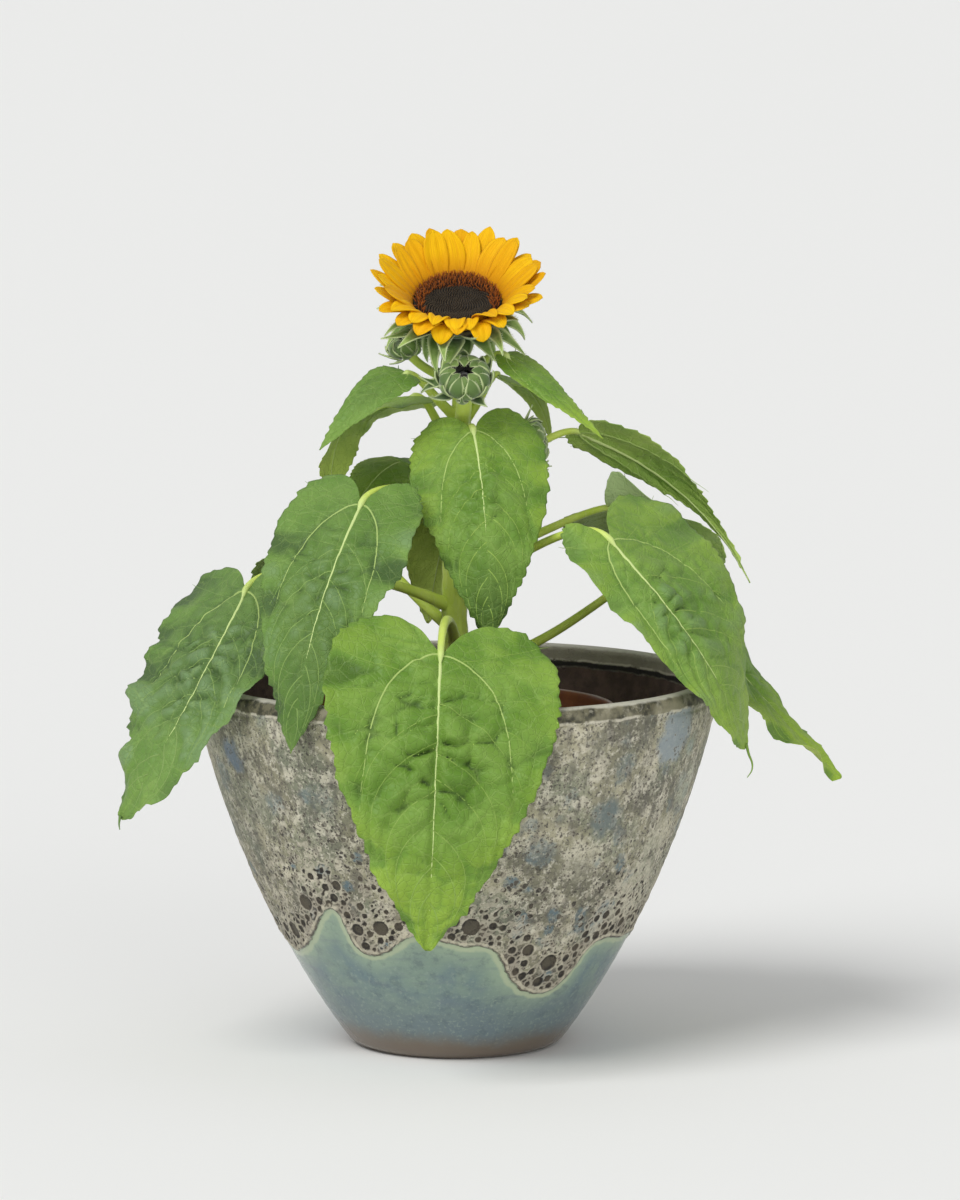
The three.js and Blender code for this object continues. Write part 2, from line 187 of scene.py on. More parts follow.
sky = bpy.data.worlds.new("studio")
sky.use_nodes = True
backdrop = sky.node_tree.nodes["Background"]
backdrop.inputs["Color"].default_value = linear("#f4f5f6")
backdrop.inputs["Strength"].default_value = SKY_STRENGTH
bpy.context.scene.world = sky

floor_mesh = bpy.data.meshes.new("floor")
corners = [(-FLOOR_HALF, -FLOOR_HALF, 0), (FLOOR_HALF, -FLOOR_HALF, 0), (FLOOR_HALF, FLOOR_HALF, 0)]
floor_mesh.from_pydata([*corners, (-FLOOR_HALF, FLOOR_HALF, 0)], [], [(0, 1, 2, 3)])
floor = bpy.data.objects.new("floor", floor_mesh)
paper, tree, shader = finish_of("matt_paper", 0.9)
shader.inputs["Base Color"].default_value = linear("#f0f0ee")
floor_mesh.materials.append(paper)
bpy.context.scene.collection.objects.link(floor)
floor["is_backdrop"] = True
print("floor and", len(SUNS), "lights")

# %% [markdown]
# All new shapes are grids of points worked out at once with numpy, and their faces follow from the points'
# numbers alone. Each shape is closed, and the sign of its volume tells if it is inside out.

# %% Grids and faces
def unit(vectors):
    """The vectors, each divided by its own length."""
    return vectors / np.maximum(np.linalg.norm(vectors, axis=-1, keepdims=True), 1e-12)


def round_turn(sides):
    """The angles of so many points, evenly round a circle."""
    return np.linspace(0, 2 * np.pi, sides, endpoint=False)


def grid_faces(rows, columns, wrap=False):
    """The four-sided faces of a grid numbered row by row. wrap joins its last column to its first."""
    corner = np.arange(rows - 1)[:, None] * columns
    column = np.arange(columns if wrap else columns - 1)[None, :]
    after = (column + 1) % columns
    faces = [corner + column, corner + after, corner + columns + after, corner + columns + column]
    return np.stack(faces, -1).reshape(-1, 4)


def fan(ring, pole):
    """Triangles from the points of a closed ring to one pole."""
    return np.stack([ring, np.roll(ring, -1), np.full(len(ring), pole)], -1)


def volume(points, faces):
    """Six times the volume inside: the sum over all triangles of the box product of their three corners."""
    total = 0.0
    for face in faces:
        first = points[face[:, 0]]
        for k in range(1, face.shape[1] - 1):
            total += np.einsum("ij,ij->", first, np.cross(points[face[:, k]], points[face[:, k + 1]]))
    return total


def outward(points, faces):
    """The same closed shape with its faces pointing out."""
    return points, faces if volume(points, faces) > 0 else [face[:, ::-1] for face in faces]


def capped(rings, poles):
    """A closed shape from rows of rings, with a fan of triangles from each end ring to a pole."""
    rows, sides, _ = rings.shape
    count = rows * sides
    ends = [fan(np.arange(sides), count), fan(np.arange(count - sides, count), count + 1)[:, ::-1]]
    points = np.concatenate([rings.reshape(-1, 3), poles])
    return outward(points, [grid_faces(rows, sides, wrap=True), *ends])


def joined(shapes):
    """Several shapes as one list of points and faces."""
    starts = np.cumsum([0] + [len(points) for points, _ in shapes])
    faces = [face + start for (_, group), start in zip(shapes, starts) for face in group]
    return np.concatenate([points for points, _ in shapes]), faces


print("a ring of 4 by 3 points has", len(grid_faces(4, 3, wrap=True)), "faces")

# %% [markdown]
# Three kinds of body make the whole object. A limb is a ring carried along a path, a pot is a profile turned
# about the upright axis, and a leaf or petal is a thin sheet that is given an underside and an edge.
# Unevenness is a sum of plane waves, and hairs are three-sided spikes.

# %% Bodies
def tube(path, across, radii, sides):
    """A closed limb. Each ring is p + r (n cos a + b sin a), where n and b stand square to the path."""
    tangent = unit(np.gradient(path, axis=0))
    normal = unit(np.cross(np.broadcast_to(across, path.shape), tangent))
    side = np.cross(tangent, normal)
    turn = round_turn(sides)[:, None]
    radii = np.broadcast_to(np.reshape(radii, (len(path), -1)), (len(path), sides))
    ring = normal[:, None] * np.cos(turn) + side[:, None] * np.sin(turn)
    return capped(path[:, None] + radii[..., None] * ring, path[[0, -1]])


def turned(profile, sides, relief=0.0):
    """A profile of radius and height, pole to pole, turned, and pushed out square to itself by relief."""
    middle = profile[1:-1]
    slope = unit(np.gradient(profile, axis=0))[1:-1]
    push = np.broadcast_to(relief, (len(middle), sides))
    radius = middle[:, :1] + push * slope[:, 1:]
    height = middle[:, 1:] - push * slope[:, :1]
    turn = round_turn(sides)
    rings = np.stack([radius * np.cos(turn), radius * np.sin(turn), height], -1)
    return capped(rings, [[0, 0, profile[0, 1]], [0, 0, profile[-1, 1]]])


def thickened(sheet, thickness):
    """A thin closed body from a grid of points, moved half the thickness up and down along its normals."""
    rows, columns, _ = sheet.shape
    normal = unit(np.cross(np.gradient(sheet, axis=1), np.gradient(sheet, axis=0)))
    half = np.broadcast_to(thickness, (rows, columns))[..., None] / 2
    points = np.concatenate([(sheet + normal * half).reshape(-1, 3), (sheet - normal * half).reshape(-1, 3)])
    number = np.arange(rows * columns).reshape(rows, columns)
    edge = np.concatenate([number[0, :-1], number[:-1, -1], number[-1, :0:-1], number[:0:-1, 0]])
    after = np.roll(edge, -1)
    under = rows * columns
    faces = grid_faces(rows, columns)
    rim = np.stack([edge, edge + under, after + under, after], -1)
    return outward(points, [faces, faces[:, ::-1] + under, rim])


def ripple(x, y, wave, seed):
    """Smooth noise of about plus or minus 1: eight plane waves of nearly one length, with dealt bearings."""
    total = 0.0
    for bearing, phase, stretch in np.random.default_rng(seed).random((8, 3)) * [2 * np.pi, 2 * np.pi, 1]:
        pace = 2 * np.pi / (wave * (0.7 + 0.6 * stretch))
        total = total + np.sin(pace * (x * np.cos(bearing) + y * np.sin(bearing)) + phase)
    return total / 4


def spikes(roots, ways, lengths, radius):
    """Short hairs: each a three-sided spike from a root along a way, closed at its foot."""
    count = len(roots)
    helper = unit(np.cross(ways, np.array([0.31, 0.52, 0.79])))
    other = np.cross(ways, helper)
    turn = np.array([0, 2 * np.pi / 3, 4 * np.pi / 3])[None, :, None]
    feet = roots[:, None] + radius * (helper[:, None] * np.cos(turn) + other[:, None] * np.sin(turn))
    tips = (roots + ways * np.reshape(lengths, (-1, 1)))[:, None]
    pattern = np.array([[0, 1, 3], [1, 2, 3], [2, 0, 3], [2, 1, 0]])
    faces = (np.arange(count)[:, None, None] * 4 + pattern).reshape(-1, 3)
    return np.concatenate([feet, tips], 1).reshape(-1, 3), [faces]


print("a limb of 2 rings of 6 has", len(tube(np.eye(3)[:2], (0, 0, 1), np.ones(2), 6)[0]), "points")

# %% [markdown]
# Blender gets each shape as flat lists of numbers, which is far quicker than adding points one by one. Smooth
# lines come from a few points: a cubic curve of four, or a line through as many as are named.

# %% Pieces and lines
def make_piece(name, shape, material, nodes=(), values=None):
    """A Blender object from points in mm. values are named numbers or vectors held at its points."""
    points, faces = shape
    mesh = bpy.data.meshes.new(name)
    mesh.vertices.add(len(points))
    mesh.vertices.foreach_set("co", (points * MM).astype(np.float32).ravel())
    corners = np.concatenate([face.ravel() for face in faces]).astype(np.int32)
    sizes = np.concatenate([np.full(len(face), face.shape[1]) for face in faces])
    mesh.loops.add(len(corners))
    mesh.loops.foreach_set("vertex_index", corners)
    mesh.polygons.add(len(sizes))
    mesh.polygons.foreach_set("loop_start", np.concatenate([[0], np.cumsum(sizes)[:-1]]).astype(np.int32))
    mesh.update(calc_edges=True)
    mesh.shade_smooth()
    for key, value in (values or {}).items():
        kind, field = ("FLOAT_VECTOR", "vector") if np.ndim(value) == 2 else ("FLOAT", "value")
        held = mesh.attributes.new(key, kind, "POINT")
        held.data.foreach_set(field, np.asarray(value, np.float32).ravel())
    mesh.materials.append(material)
    piece = bpy.data.objects.new(name, mesh)
    bpy.context.scene.collection.objects.link(piece)
    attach(piece, "root")
    if nodes:
        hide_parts(*nodes)
    print(name, len(points), "points", int((sizes - 2).sum()), "triangles")
    return piece


def cubic(points, t):
    """A cubic curve with four control points, worked out at every t."""
    a, b, c, d = (np.asarray(p, float) for p in points)
    t = np.asarray(t, float)[..., None]
    return (1 - t) ** 3 * a + 3 * (1 - t) ** 2 * t * b + 3 * (1 - t) * t * t * c + t**3 * d


def way_along(line):
    """The way from the start of a line to each of its points: the running sum of its steps."""
    return np.concatenate([[0], np.cumsum(np.linalg.norm(np.diff(line, axis=0), axis=1))])


def through(points, count):
    """A smooth line through points, cut to equal steps. Each span blends straight lines, over knots that are
    spaced by the square roots of the gaps."""
    p = np.array(points, float)
    p = np.concatenate([[2 * p[0] - p[1]], p, [2 * p[-1] - p[-2]]])
    line = []
    for a, b, c, d in zip(p[:-3], p[1:-2], p[2:-1], p[3:]):
        k0, k1, k2, k3 = np.cumsum([0, *(np.linalg.norm(v) ** 0.5 for v in (b - a, c - b, d - c))])
        t = np.linspace(k1, k2, 30)[:, None]
        ab = (k1 - t) / (k1 - k0) * a + (t - k0) / (k1 - k0) * b
        bc = (k2 - t) / (k2 - k1) * b + (t - k1) / (k2 - k1) * c
        cd = (k3 - t) / (k3 - k2) * c + (t - k2) / (k3 - k2) * d
        abc = (k2 - t) / (k2 - k0) * ab + (t - k0) / (k2 - k0) * bc
        bcd = (k3 - t) / (k3 - k1) * bc + (t - k1) / (k3 - k1) * cd
        line.append((k2 - t) / (k2 - k1) * abc + (t - k1) / (k2 - k1) * bcd)
    line = np.concatenate(line)
    way = way_along(line)
    even = np.linspace(0, way[-1], count)
    return np.stack([np.interp(even, way, column) for column in line.T], 1)


def smooth_step(value, low, high):
    """0 below low, 1 above high and a smooth rise between: 3 s s - 2 s s s of the share s."""
    share = np.clip((value - low) / (high - low), 0, 1)
    return share * share * (3 - 2 * share)


print("half way up a smooth step is", smooth_step(0.5, 0, 1))

# %% [markdown]
# The planter is wheel-thrown stoneware under two glazes. The lower one is a smooth teal. The upper one boiled
# in the kiln: it set as a grey crust full of burst bubbles that ran down to a wavy edge. The crust stands
# proud of the teal and its edge is a roll, so both are in the mesh, and so are the larger bubbles.

# %% Planter
PLANTER_WALL = 10
PLANTER_FLOOR = 14
FOOT_RADIUS = 55
BODY_CURVE = [(62, 4), (106, 62), (137, 142), (149, 200)]
LIP_OUTSIDE = [(148.6, 202), (149.7, 204), (149.9, 207), (149.4, 210.5), (147.8, 212.4), (145.5, 213)]
LIP_INSIDE = [(142.5, 212.7), (140.2, 211.6), (139.2, 209.5), (139, 206), (139, 202)]
PLANTER_SIDES = 430
BODY_ROWS = 146
LIP_TOP_ROW = 26


def rounded(line, times=2):
    """A line with its corners cut: each step keeps the points at a quarter and three quarters of an edge."""
    line = np.array(line, float)
    for _ in range(times):
        near, far = 0.75 * line[:-1] + 0.25 * line[1:], 0.25 * line[:-1] + 0.75 * line[1:]
        line = np.concatenate([line[:1], np.stack([near, far], 1).reshape(-1, 2), line[-1:]])
    return line


def planter_profile():
    """Radius and height from the underside's middle, up outside, over the lip and down to the floor."""
    body = cubic(BODY_CURVE, np.linspace(0, 1, BODY_ROWS))
    inside = body[body[:, 1] > 2 * PLANTER_FLOOR][::-5] - [PLANTER_WALL, 0]
    foot = [(0, 0), (20, 0), (FOOT_RADIUS - 6, 0), (FOOT_RADIUS - 1, 0), (FOOT_RADIUS + 1.5, 0.4), (60, 2.4)]
    lip = rounded([body[-1], *LIP_OUTSIDE, *LIP_INSIDE, inside[0]])
    floor_line = [(60, PLANTER_FLOOR + 2), (57, PLANTER_FLOOR), (30, PLANTER_FLOOR), (0, PLANTER_FLOOR)]
    return np.concatenate([foot, body, lip, inside, floor_line])


profile = planter_profile()
print("the planter's profile has", len(profile), "points")

# %% [markdown]
# Where the upper glaze stopped is a wavy line, and the burst bubbles crowd above it. Their front was read off
# the photograph, as bearings round the wall and heights on it. Smaller bubbles are thrown like darts, largest
# first, and one that would touch another is dropped, which packs them as foam packs.

# %% Drip edge and bubbles
# The edge: bearings in degrees from the front, to the right, and heights.
DRIP_EDGE = [
    (-180, 62), (-162, 50), (-146, 68), (-126, 72), (-112, 56), (-98, 70), (-84, 68), (-70, 59), (-59, 63.5),
    (-52, 71), (-46, 80.5), (-42, 88), (-38, 92.5), (-35.8, 89.5), (-34.6, 80), (-33, 70.5), (-30, 66),
    (-25, 66.5), (-19, 72), (-14, 78.5), (-9, 79.5), (-3, 75.8), (2, 73.5), (8, 73.5), (12, 70.5), (14.8, 64),
    (17.5, 55.5), (22, 47.5), (27, 43), (33, 41), (38, 42.7), (42, 47.5), (44.8, 55), (47.2, 64), (51, 69.3),
    (57, 70.2), (66, 68), (82, 66), (94, 56), (106, 50), (118, 58), (130, 73), (146, 76), (164, 70),
]
# The largest burst bubbles of the front: bearing, height and radius.
LARGE_BUBBLES = [
    (-60.8, 73.9, 5.0), (-47.6, 94.2, 4.7), (-42.2, 91.4, 2.1), (-30.4, 81.5, 3.7), (-29.1, 71.6, 2.7),
    (-27.5, 96.3, 2.4), (-26.8, 90.6, 1.7), (-26.4, 79.7, 2.1), (-23.3, 75.9, 2.1), (-22.5, 83.6, 4.6),
    (-19.8, 94.1, 1.7), (-19.7, 77.9, 1.8), (-16.7, 85.2, 2.7), (-14.7, 88.5, 1.7), (-1.2, 80.0, 2.3),
    (-0.3, 89.5, 3.3), (0.6, 83.6, 1.5), (2.4, 79.3, 1.9), (4.5, 85.9, 5.2), (6.8, 78.2, 1.9), (8.6, 91.9, 1.7),
    (10.5, 79.2, 1.5), (11.3, 93.3, 1.5), (13.1, 78.8, 1.5), (17.9, 70.6, 2.4), (22.1, 77.8, 2.3),
    (23.3, 70.0, 3.6), (30.3, 49.2, 3.1), (32.3, 60.8, 5.0), (39.7, 52.1, 2.3), (42.4, 63.9, 1.8),
    (45.4, 72.4, 2.1), (60.7, 78.9, 3.0),
]
# Round the wall near the drip edge, a degree is about this many millimetres.
MM_PER_DEGREE = 1.8
BUBBLE_TRIES = 5200
FAR_OFF = 30.0


def drip_line():
    """Bearings and heights of the glaze's edge: one smooth line through the listed points, carried on at both
    ends by the points of the other end, so that it closes at the back."""
    edge = np.array(DRIP_EDGE, float)
    line = through([*(edge[-3:] - [360, 0]), *edge, *(edge[:3] + [360, 0])], 4000)
    return np.maximum.accumulate(line[:, 0]), line[:, 1]


def drip_height(bearing):
    """The height of the glaze's edge at a bearing in degrees."""
    return np.interp(bearing, *DRIP_LINE)


def above_drip(bearing, height, radius):
    """How far a place lies above the glaze's edge along the wall: the least distance to the edge within 12
    degrees to either side, and below the edge it counts as negative."""
    nearest = np.inf
    for aside in np.linspace(-12, 12, 241):
        rise = height - drip_height(bearing + aside)
        nearest = np.minimum(nearest, np.hypot(np.radians(aside) * radius, rise))
    return np.sign(height - drip_height(bearing)) * nearest


def burst_bubbles(tries, seed):
    """Bearings, heights and radii of the burst bubbles: the listed ones, and darts that keep clear of earlier
    ones. The largest lie nearest to the edge and in herds, and the smallest up to 60 mm above it."""
    kept = np.array(LARGE_BUBBLES)
    for i, (bearing, share, size) in enumerate(np.random.default_rng(seed).random((tries, 3))):
        bearing, small = bearing * 360 - 180, i / tries
        herd = 0.72 + 0.2 * math.sin(0.155 * bearing + 1) + 0.15 * math.sin(0.34 * bearing)
        radius = 0.7 + 3.9 * (1 - small) ** 3.2 * (0.45 + 0.55 * size) * herd
        rise = radius + 1 + (11 + 48 * small) * share**1.6
        beside = bearing + np.array([-1, 0, 1]) * (radius + 1) / MM_PER_DEGREE
        here = drip_height(beside).max() + rise
        around = 2 * np.pi * np.interp(here, BODY_HEIGHTS, BODY_RADII) / 360
        gaps = np.hypot((bearing - kept[:, 0] + 180) % 360 - 180, (here - kept[:, 1]) / around) * around
        if (gaps > (radius + kept[:, 2]) * 1.06 + 0.35).all():
            kept = np.vstack([kept, (bearing, here, radius)])
    return kept


BODY_RADII, BODY_HEIGHTS = cubic(BODY_CURVE, np.linspace(0, 1, 200)).T
DRIP_LINE = drip_line()
bubbles = burst_bubbles(BUBBLE_TRIES, 11)
print(len(bubbles), "burst bubbles")

# %% [markdown]
# Every point of the wall gets its distance to the drip edge and to the nearest bubble, and short formulas of
# the distances push it out or in: the crust's thickness, the roll along its edge, lumps, the bubbles' floors
# and lips, and the faint rings that the potter's fingers left.

# %% The wall's relief
turn = round_turn(PLANTER_SIDES)
bearing = np.degrees(np.arctan2(np.cos(turn), -np.sin(turn)))[None, :]
ring_radius, ring_height = profile[1:-1, :1], profile[1:-1, 1:]
row = np.arange(len(profile) - 2)[:, None] - 5 - BODY_ROWS
outside = row < LIP_TOP_ROW
above_edge = above_drip(bearing, ring_height, ring_radius)
from_bubble = np.full(above_edge.shape, FAR_OFF)
for place, height, radius in bubbles:
    across = ((bearing - place + 180) % 360 - 180) * np.pi / 180 * ring_radius
    from_bubble = np.minimum(from_bubble, np.hypot(across, ring_height - height) - radius)
from_bubble = np.where(outside, from_bubble, FAR_OFF)

around, up = np.broadcast_arrays(np.radians(bearing) * ring_radius, ring_height)
crust = smooth_step(above_edge, -0.6, 1.8) * (1 - smooth_step(row, 10, LIP_TOP_ROW))
roll = 0.45 * np.exp(-(((above_edge - 1.6) / 1.6) ** 2))
lumps = 0.22 * ripple(around, up, 19, 3) + 0.12 * ripple(around, up, 8, 4)
bubble_floor = -0.75 * (1 - smooth_step(from_bubble, -1.1, 0.1))
bubble_lip = 0.3 * np.exp(-(((from_bubble - 0.5) / 0.6) ** 2))
throwing_rings = 0.12 * np.sin(ring_height * 0.9 + 0.6 * np.sin(np.radians(bearing)))
below_lip = 1 - smooth_step(ring_height, 196, 201)
glaze_relief = crust * 0.5 + (roll + crust * lumps + bubble_floor + bubble_lip) * below_lip
relief = np.where(outside, glaze_relief, throwing_rings) + np.where(outside, throwing_rings * 0.5, 0)
relief = np.where(outside & (ring_height < 4), 0.0, relief)
print("the wall's relief goes from", round(relief.min(), 2), "to", round(relief.max(), 2), "mm")

# %% [markdown]
# The glaze's colours go by what lies where, so the mesh holds three measures at each of its points: how far it
# is above the drip edge, how far from the nearest bubble, and whether it is inside. The shader turns these
# smooth numbers into sharp borders, and adds pits too small for the mesh with cell patterns of their real size.

# %% Glaze measures
# Places where the upper glaze lies thin and the blue one under it shows, or where it set pale or dark: the
# centre, the radius, the tone and its share.
PATCHES = [
    ((125, -79, 190), 17, "#929da2", 0.85), ((-128, -72, 176), 9, "#6d7f92", 0.85),
    ((84, -107, 146), 10, "#65716f", 0.8), ((105, -62, 94), 22, "#cfcab4", 0.65),
    ((120, -60, 125), 15, "#cfcab4", 0.6), ((130, -46, 156), 12, "#bcc0a8", 0.6),
    ((82, -69, 80), 10, "#c6c1ab", 0.6), ((132, -60, 181), 7, "#aab5a4", 0.6),
    ((70, -105, 123), 13, "#bab6a0", 0.5), ((-110, -82, 153), 8, "#abab96", 0.5),
    ((108, -101, 191), 9, "#57584d", 0.6), ((80, -124, 192), 8, "#66655a", 0.6),
    ((-75, -116, 159), 9, "#566461", 0.65),
]
# From this share on a patch is smooth. A weaker one is broken up by the grain of the crust.
SMOOTH_PATCH = 0.8
# Round spots of the lower glaze, low on the crust: the centre and the radius.
BLUE_SPOTS = [
    ((-60, -104, 107.5), 3.6), ((31, -118, 112), 4.6), ((38, -106, 90), 2.8), ((52, -95, 81.5), 2.8),
    ((92, -85, 121), 2.8), ((-55, -115, 126), 3.2), ((-92, -84, 116), 2.4),
]


def patches(tree, place, wave, low, high, first=0, last=1, detail=3, roughness=0.55):
    """A cloudy share: from first to last where a noise of about wave millimetres rises from low to high."""
    inputs = {"Vector": place, "Scale": 1 / (wave * MM), "Detail": detail, "Roughness": roughness}
    noise = add(tree, "TexNoise", inputs)["Fac"]
    return share_of(tree, (noise, low, high, first, last))


def uneven(tree, place, measure, wave, depth, detail=3.0):
    """A measure to which a noise of about wave millimetres adds something between 0 and depth."""
    inputs = {"Vector": place, "Scale": 1 / (wave * MM), "Detail": detail, "Roughness": 0.55}
    noise = add(tree, "TexNoise", inputs)["Fac"]
    return add(tree, "Math", {0: noise, 1: depth, 2: measure}, operation="MULTIPLY_ADD")[0]


def distance_to(tree, place, centre, wave, depth):
    """The distance in metres to a centre given in mm, made uneven by noise."""
    middle = {0: place, 1: np.array(centre) * MM}
    far = add(tree, "VectorMath", middle, operation="DISTANCE")["Value"]
    return uneven(tree, place, far, wave, depth, 4)


def gap_to(tree, measure, value):
    """How far a measure is from a value, to either side."""
    gap = add(tree, "Math", {0: measure, 1: value}, operation="SUBTRACT")[0]
    return add(tree, "Math", {0: gap}, operation="ABSOLUTE")[0]


def blue_share(tree, place):
    """Where the blue glaze shows through: in dealt spots and clouds, and in the spots of the front."""
    cells = add(tree, "TexVoronoi", {"Vector": place, "Scale": 1 / (24 * MM)}, feature="SMOOTH_F1")
    inner = {0: cells["Distance"], 1: 0.17}
    inner = add(tree, "Math", inner, operation="SUBTRACT")[0]
    dealt = share_of(tree, (uneven(tree, place, inner, 5, 0.34, 4), 0.14, 0.24, 1, 0))
    clouds = patches(tree, place, 42, 0.6, 0.7, detail=4)
    blue = add(tree, "Math", {0: dealt, 1: clouds}, operation="MAXIMUM")[0]
    for centre, radius in BLUE_SPOTS:
        far = distance_to(tree, place, centre, 3, 0.006)
        spot = share_of(tree, (far, (radius + 2.2) * MM, (radius + 4) * MM, 1, 0))
        blue = add(tree, "Math", {0: blue, 1: spot}, operation="MAXIMUM")[0]
    return share_of(tree, blue, patches(tree, place, 2.6, 0.35, 0.6, 1, 0.55, detail=4))


print(len(PATCHES), "patches and", len(BLUE_SPOTS), "blue spots lie on the front")

# %% [markdown]
# The crust is cloudy from hand-sized patches down to specks, so noises of 60 mm to 2 mm are laid over each
# other as coats. Small craters come from a cell pattern: in each cell, what is nearer to the middle than a
# dealt radius is a pit, and a thin ring round it is its pale lip. They crowd where the glaze boiled most.

# %% Crust
def crust_tone(tree, place, above, blue):
    """The boiled glaze: grey and cream clouds, thin blue places, brown runs and a scorched edge."""
    streak = add(tree, "Mapping", {"Vector": place, "Scale": (1, 1, 0.3)})[0]
    runs = add(tree, "TexNoise", {"Vector": streak, "Scale": 190, "Detail": 3})["Fac"]
    tone = coated(
        tree, "#8d8a70",
        ("#b3ad92", patches(tree, place, 26, 0.35, 0.65)),
        ("#74725f", patches(tree, place, 48, 0.46, 0.6)),
        ("#7c8571", patches(tree, place, 60, 0.5, 0.62, 0, 0.5)),
        ("#d4ceb9", patches(tree, place, 13, 0.5, 0.62, 0, 0.7, detail=5, roughness=0.65)),
        ("#d3cebb", patches(tree, place, 3.4, 0.5, 0.64, 0, 0.8, detail=6, roughness=0.7)),
        ("#4a463f", patches(tree, place, 2, 0.52, 0.62, detail=4, roughness=0.8)),
        (coated(tree, "#506b77", ("#6c7e82", (above, 30, 70))), blue, (above, 30, 80, 0.92, 0.6)),
        ("#57534a", (runs, 0.48, 0.7, 0, 0.6)),
        ("#4d4239", (above, 2, 26, 0.85, 0), patches(tree, place, 14, 0.4, 0.56)),
    )
    grain = patches(tree, place, 3, 0.42, 0.58, 0.35, 1, detail=5, roughness=0.7)
    for centre, reach, shade, share in PATCHES:
        far = distance_to(tree, place, centre, 9, 0.022)
        factors = [(far, (reach + 7) * MM, (reach + 15) * MM, share, 0.0)]
        tone = coated(tree, tone, (shade, *factors, *([grain] if share < SMOOTH_PATCH else [])))
    return tone


def pits(tree, place, cell, least, most):
    """Round pits, one to a cell of so many mm, of dealt radii: 1 inside a pit, and how near its lip is."""
    cells = add(tree, "TexVoronoi", {"Vector": place, "Scale": 1 / (cell * MM)})
    dealt = add(tree, "SeparateColor", {0: cells["Color"]})[0]
    radius = share_of(tree, (dealt, 0, 1, least, most))
    gap = {0: cells["Distance"], 1: radius}
    gap = add(tree, "Math", gap, operation="SUBTRACT")[0]
    from_lip = add(tree, "Math", {0: gap}, operation="ABSOLUTE")[0]
    return share_of(tree, (gap, -0.04, 0.03, 1, 0)), share_of(tree, (from_lip, 0, 0.14, 1, 0))


def crust_pits(tree, place, above, blue):
    """Pits of 1 mm with their lips, and then those of 2 mm with theirs, each where they crowd."""
    noise = add(tree, "TexNoise", {"Vector": place, "Scale": 420, "Detail": 2})["Color"]
    swirl = {0: noise, 1: (0.0022, 0.0022, 0.0022)}
    swirl = add(tree, "VectorMath", swirl, operation="MULTIPLY")[0]
    wobbly = add(tree, "VectorMath", {0: place, 1: swirl}, operation="ADD")[0]
    small, small_lip = pits(tree, wobbly, 2.5, -0.05, 0.42)
    middle, middle_lip = pits(tree, wobbly, 4.0, -0.18, 0.45)
    crowd = {0: patches(tree, place, 13, 0.44, 0.54), 1: share_of(tree, blue, 0.8)}
    crowd = add(tree, "Math", crowd, operation="MAXIMUM")[0]
    herd = share_of(tree, patches(tree, place, 17, 0.42, 0.5), (above, 28, 80, 1, 0))
    small = share_of(tree, small, share_of(tree, crowd, (above, 10, 90, 1, 0.6)))
    small_lip = share_of(tree, small_lip, share_of(tree, crowd, 0.5))
    middle_lip = share_of(tree, middle_lip, share_of(tree, herd, 0.45))
    return small, small_lip, share_of(tree, middle, herd), middle_lip


def cratered(tree, place, tone, above, bubble, craters):
    """The crust with pits and bubbles, dark inside with pale lips, and a cream ridge at the drip edge."""
    small, small_lip, middle, middle_lip = craters
    dark = coated(tree, "#241f18", ("#4c4437", patches(tree, place, 7, 0.4, 0.6)))
    ridge = patches(tree, place, 5, 0.38, 0.56, 0.2, 1)
    return coated(
        tree, tone,
        ("#c8c1ae", small_lip),
        ("#c4bca8", middle_lip),
        (dark, small),
        (dark, middle),
        ("#c4bca8", (gap_to(tree, bubble, 0.45), 0.1, 0.7, 0.55, 0)),
        (dark, (bubble, -0.35, 0.15, 1.0, 0.0)),
        ("#504a3b", (bubble, -2.4, -0.8, 0.8, 0)),
        ("#c8c1aa", (gap_to(tree, above, 2.1), 0.4, 1.3, 0.85, 0), ridge),
    )


print("the crust's coats are ready")

# %% [markdown]
# The lower glaze pooled, so its clouds are soft and drawn out sideways. It thins to brown clay at the foot. On
# the lip both glazes ran off and left an olive film, and inside the pot is unglazed, with a near-black band
# under the lip that is painted shadow. A smooth glaze is glossy and the crust is dull, so the roughness follows
# the same shares.

# %% Glaze
def teal_tone(tree, place, above, height):
    """The lower glaze: teal with grey clouds, brown at the foot, a pale line below the drip edge and a dark
    line of painted shadow along it.
    """
    bands = add(tree, "Mapping", {"Vector": place, "Scale": (1, 1, 5)})[0]
    drawn = add(tree, "TexNoise", {"Vector": bands, "Scale": 45, "Detail": 4})["Fac"]
    edge_shadow_patches = patches(tree, place, 7, 0.38, 0.58, 0.25, 1)
    return coated(
        tree, "#7c9183",
        ("#687d80", patches(tree, place, 24, 0.35, 0.65, detail=4)),
        ("#94a88e", (above, -15, -2, 0, 0.75)),
        ("#69747e", (drawn, 0.48, 0.72, 0, 0.4)),
        ("#667479", (height, 0.016, 0.055, 0.85, 0)),
        ("#56656a", patches(tree, place, 9, 0.5, 0.68, 0, 0.5, detail=5, roughness=0.7)),
        ("#93a394", patches(tree, place, 2.4, 0.5, 0.7, 0, 0.5, detail=5, roughness=0.75)),
        ("#6c5f51", (uneven(tree, place, height, 24, 0.014), 0.014, 0.028, 0.95, 0)),
        ("#b0bb99", (gap_to(tree, above, -1.5), 0.6, 2.6, 0.75, 0)),
        # painted shadow: a dark line at the foot of the crust's rolled edge, broken up by patches
        ("#4b4634", (gap_to(tree, above, 0.4), 0.2, 0.9, 0.9, 0), edge_shadow_patches),
    )


def lip_tone(tree, place, wavering, inside):
    """The film of glaze on the lip: olive and mottled, greyer on the inside and palest on top."""
    return coated(
        tree, "#353424",
        ("#646049", patches(tree, place, 5, 0.42, 0.58, detail=5, roughness=0.65)),
        ("#989379", patches(tree, place, 34, 0.46, 0.56, 0, 0.75)),
        ("#aaa694", patches(tree, place, 8, 0.56, 0.64, 0, 0.5, detail=5, roughness=0.7)),
        ("#9a9583", inside, 0.75),
        ("#c9c6b6", (wavering, 0.2126, 0.214, 0, 0.8)),
    )


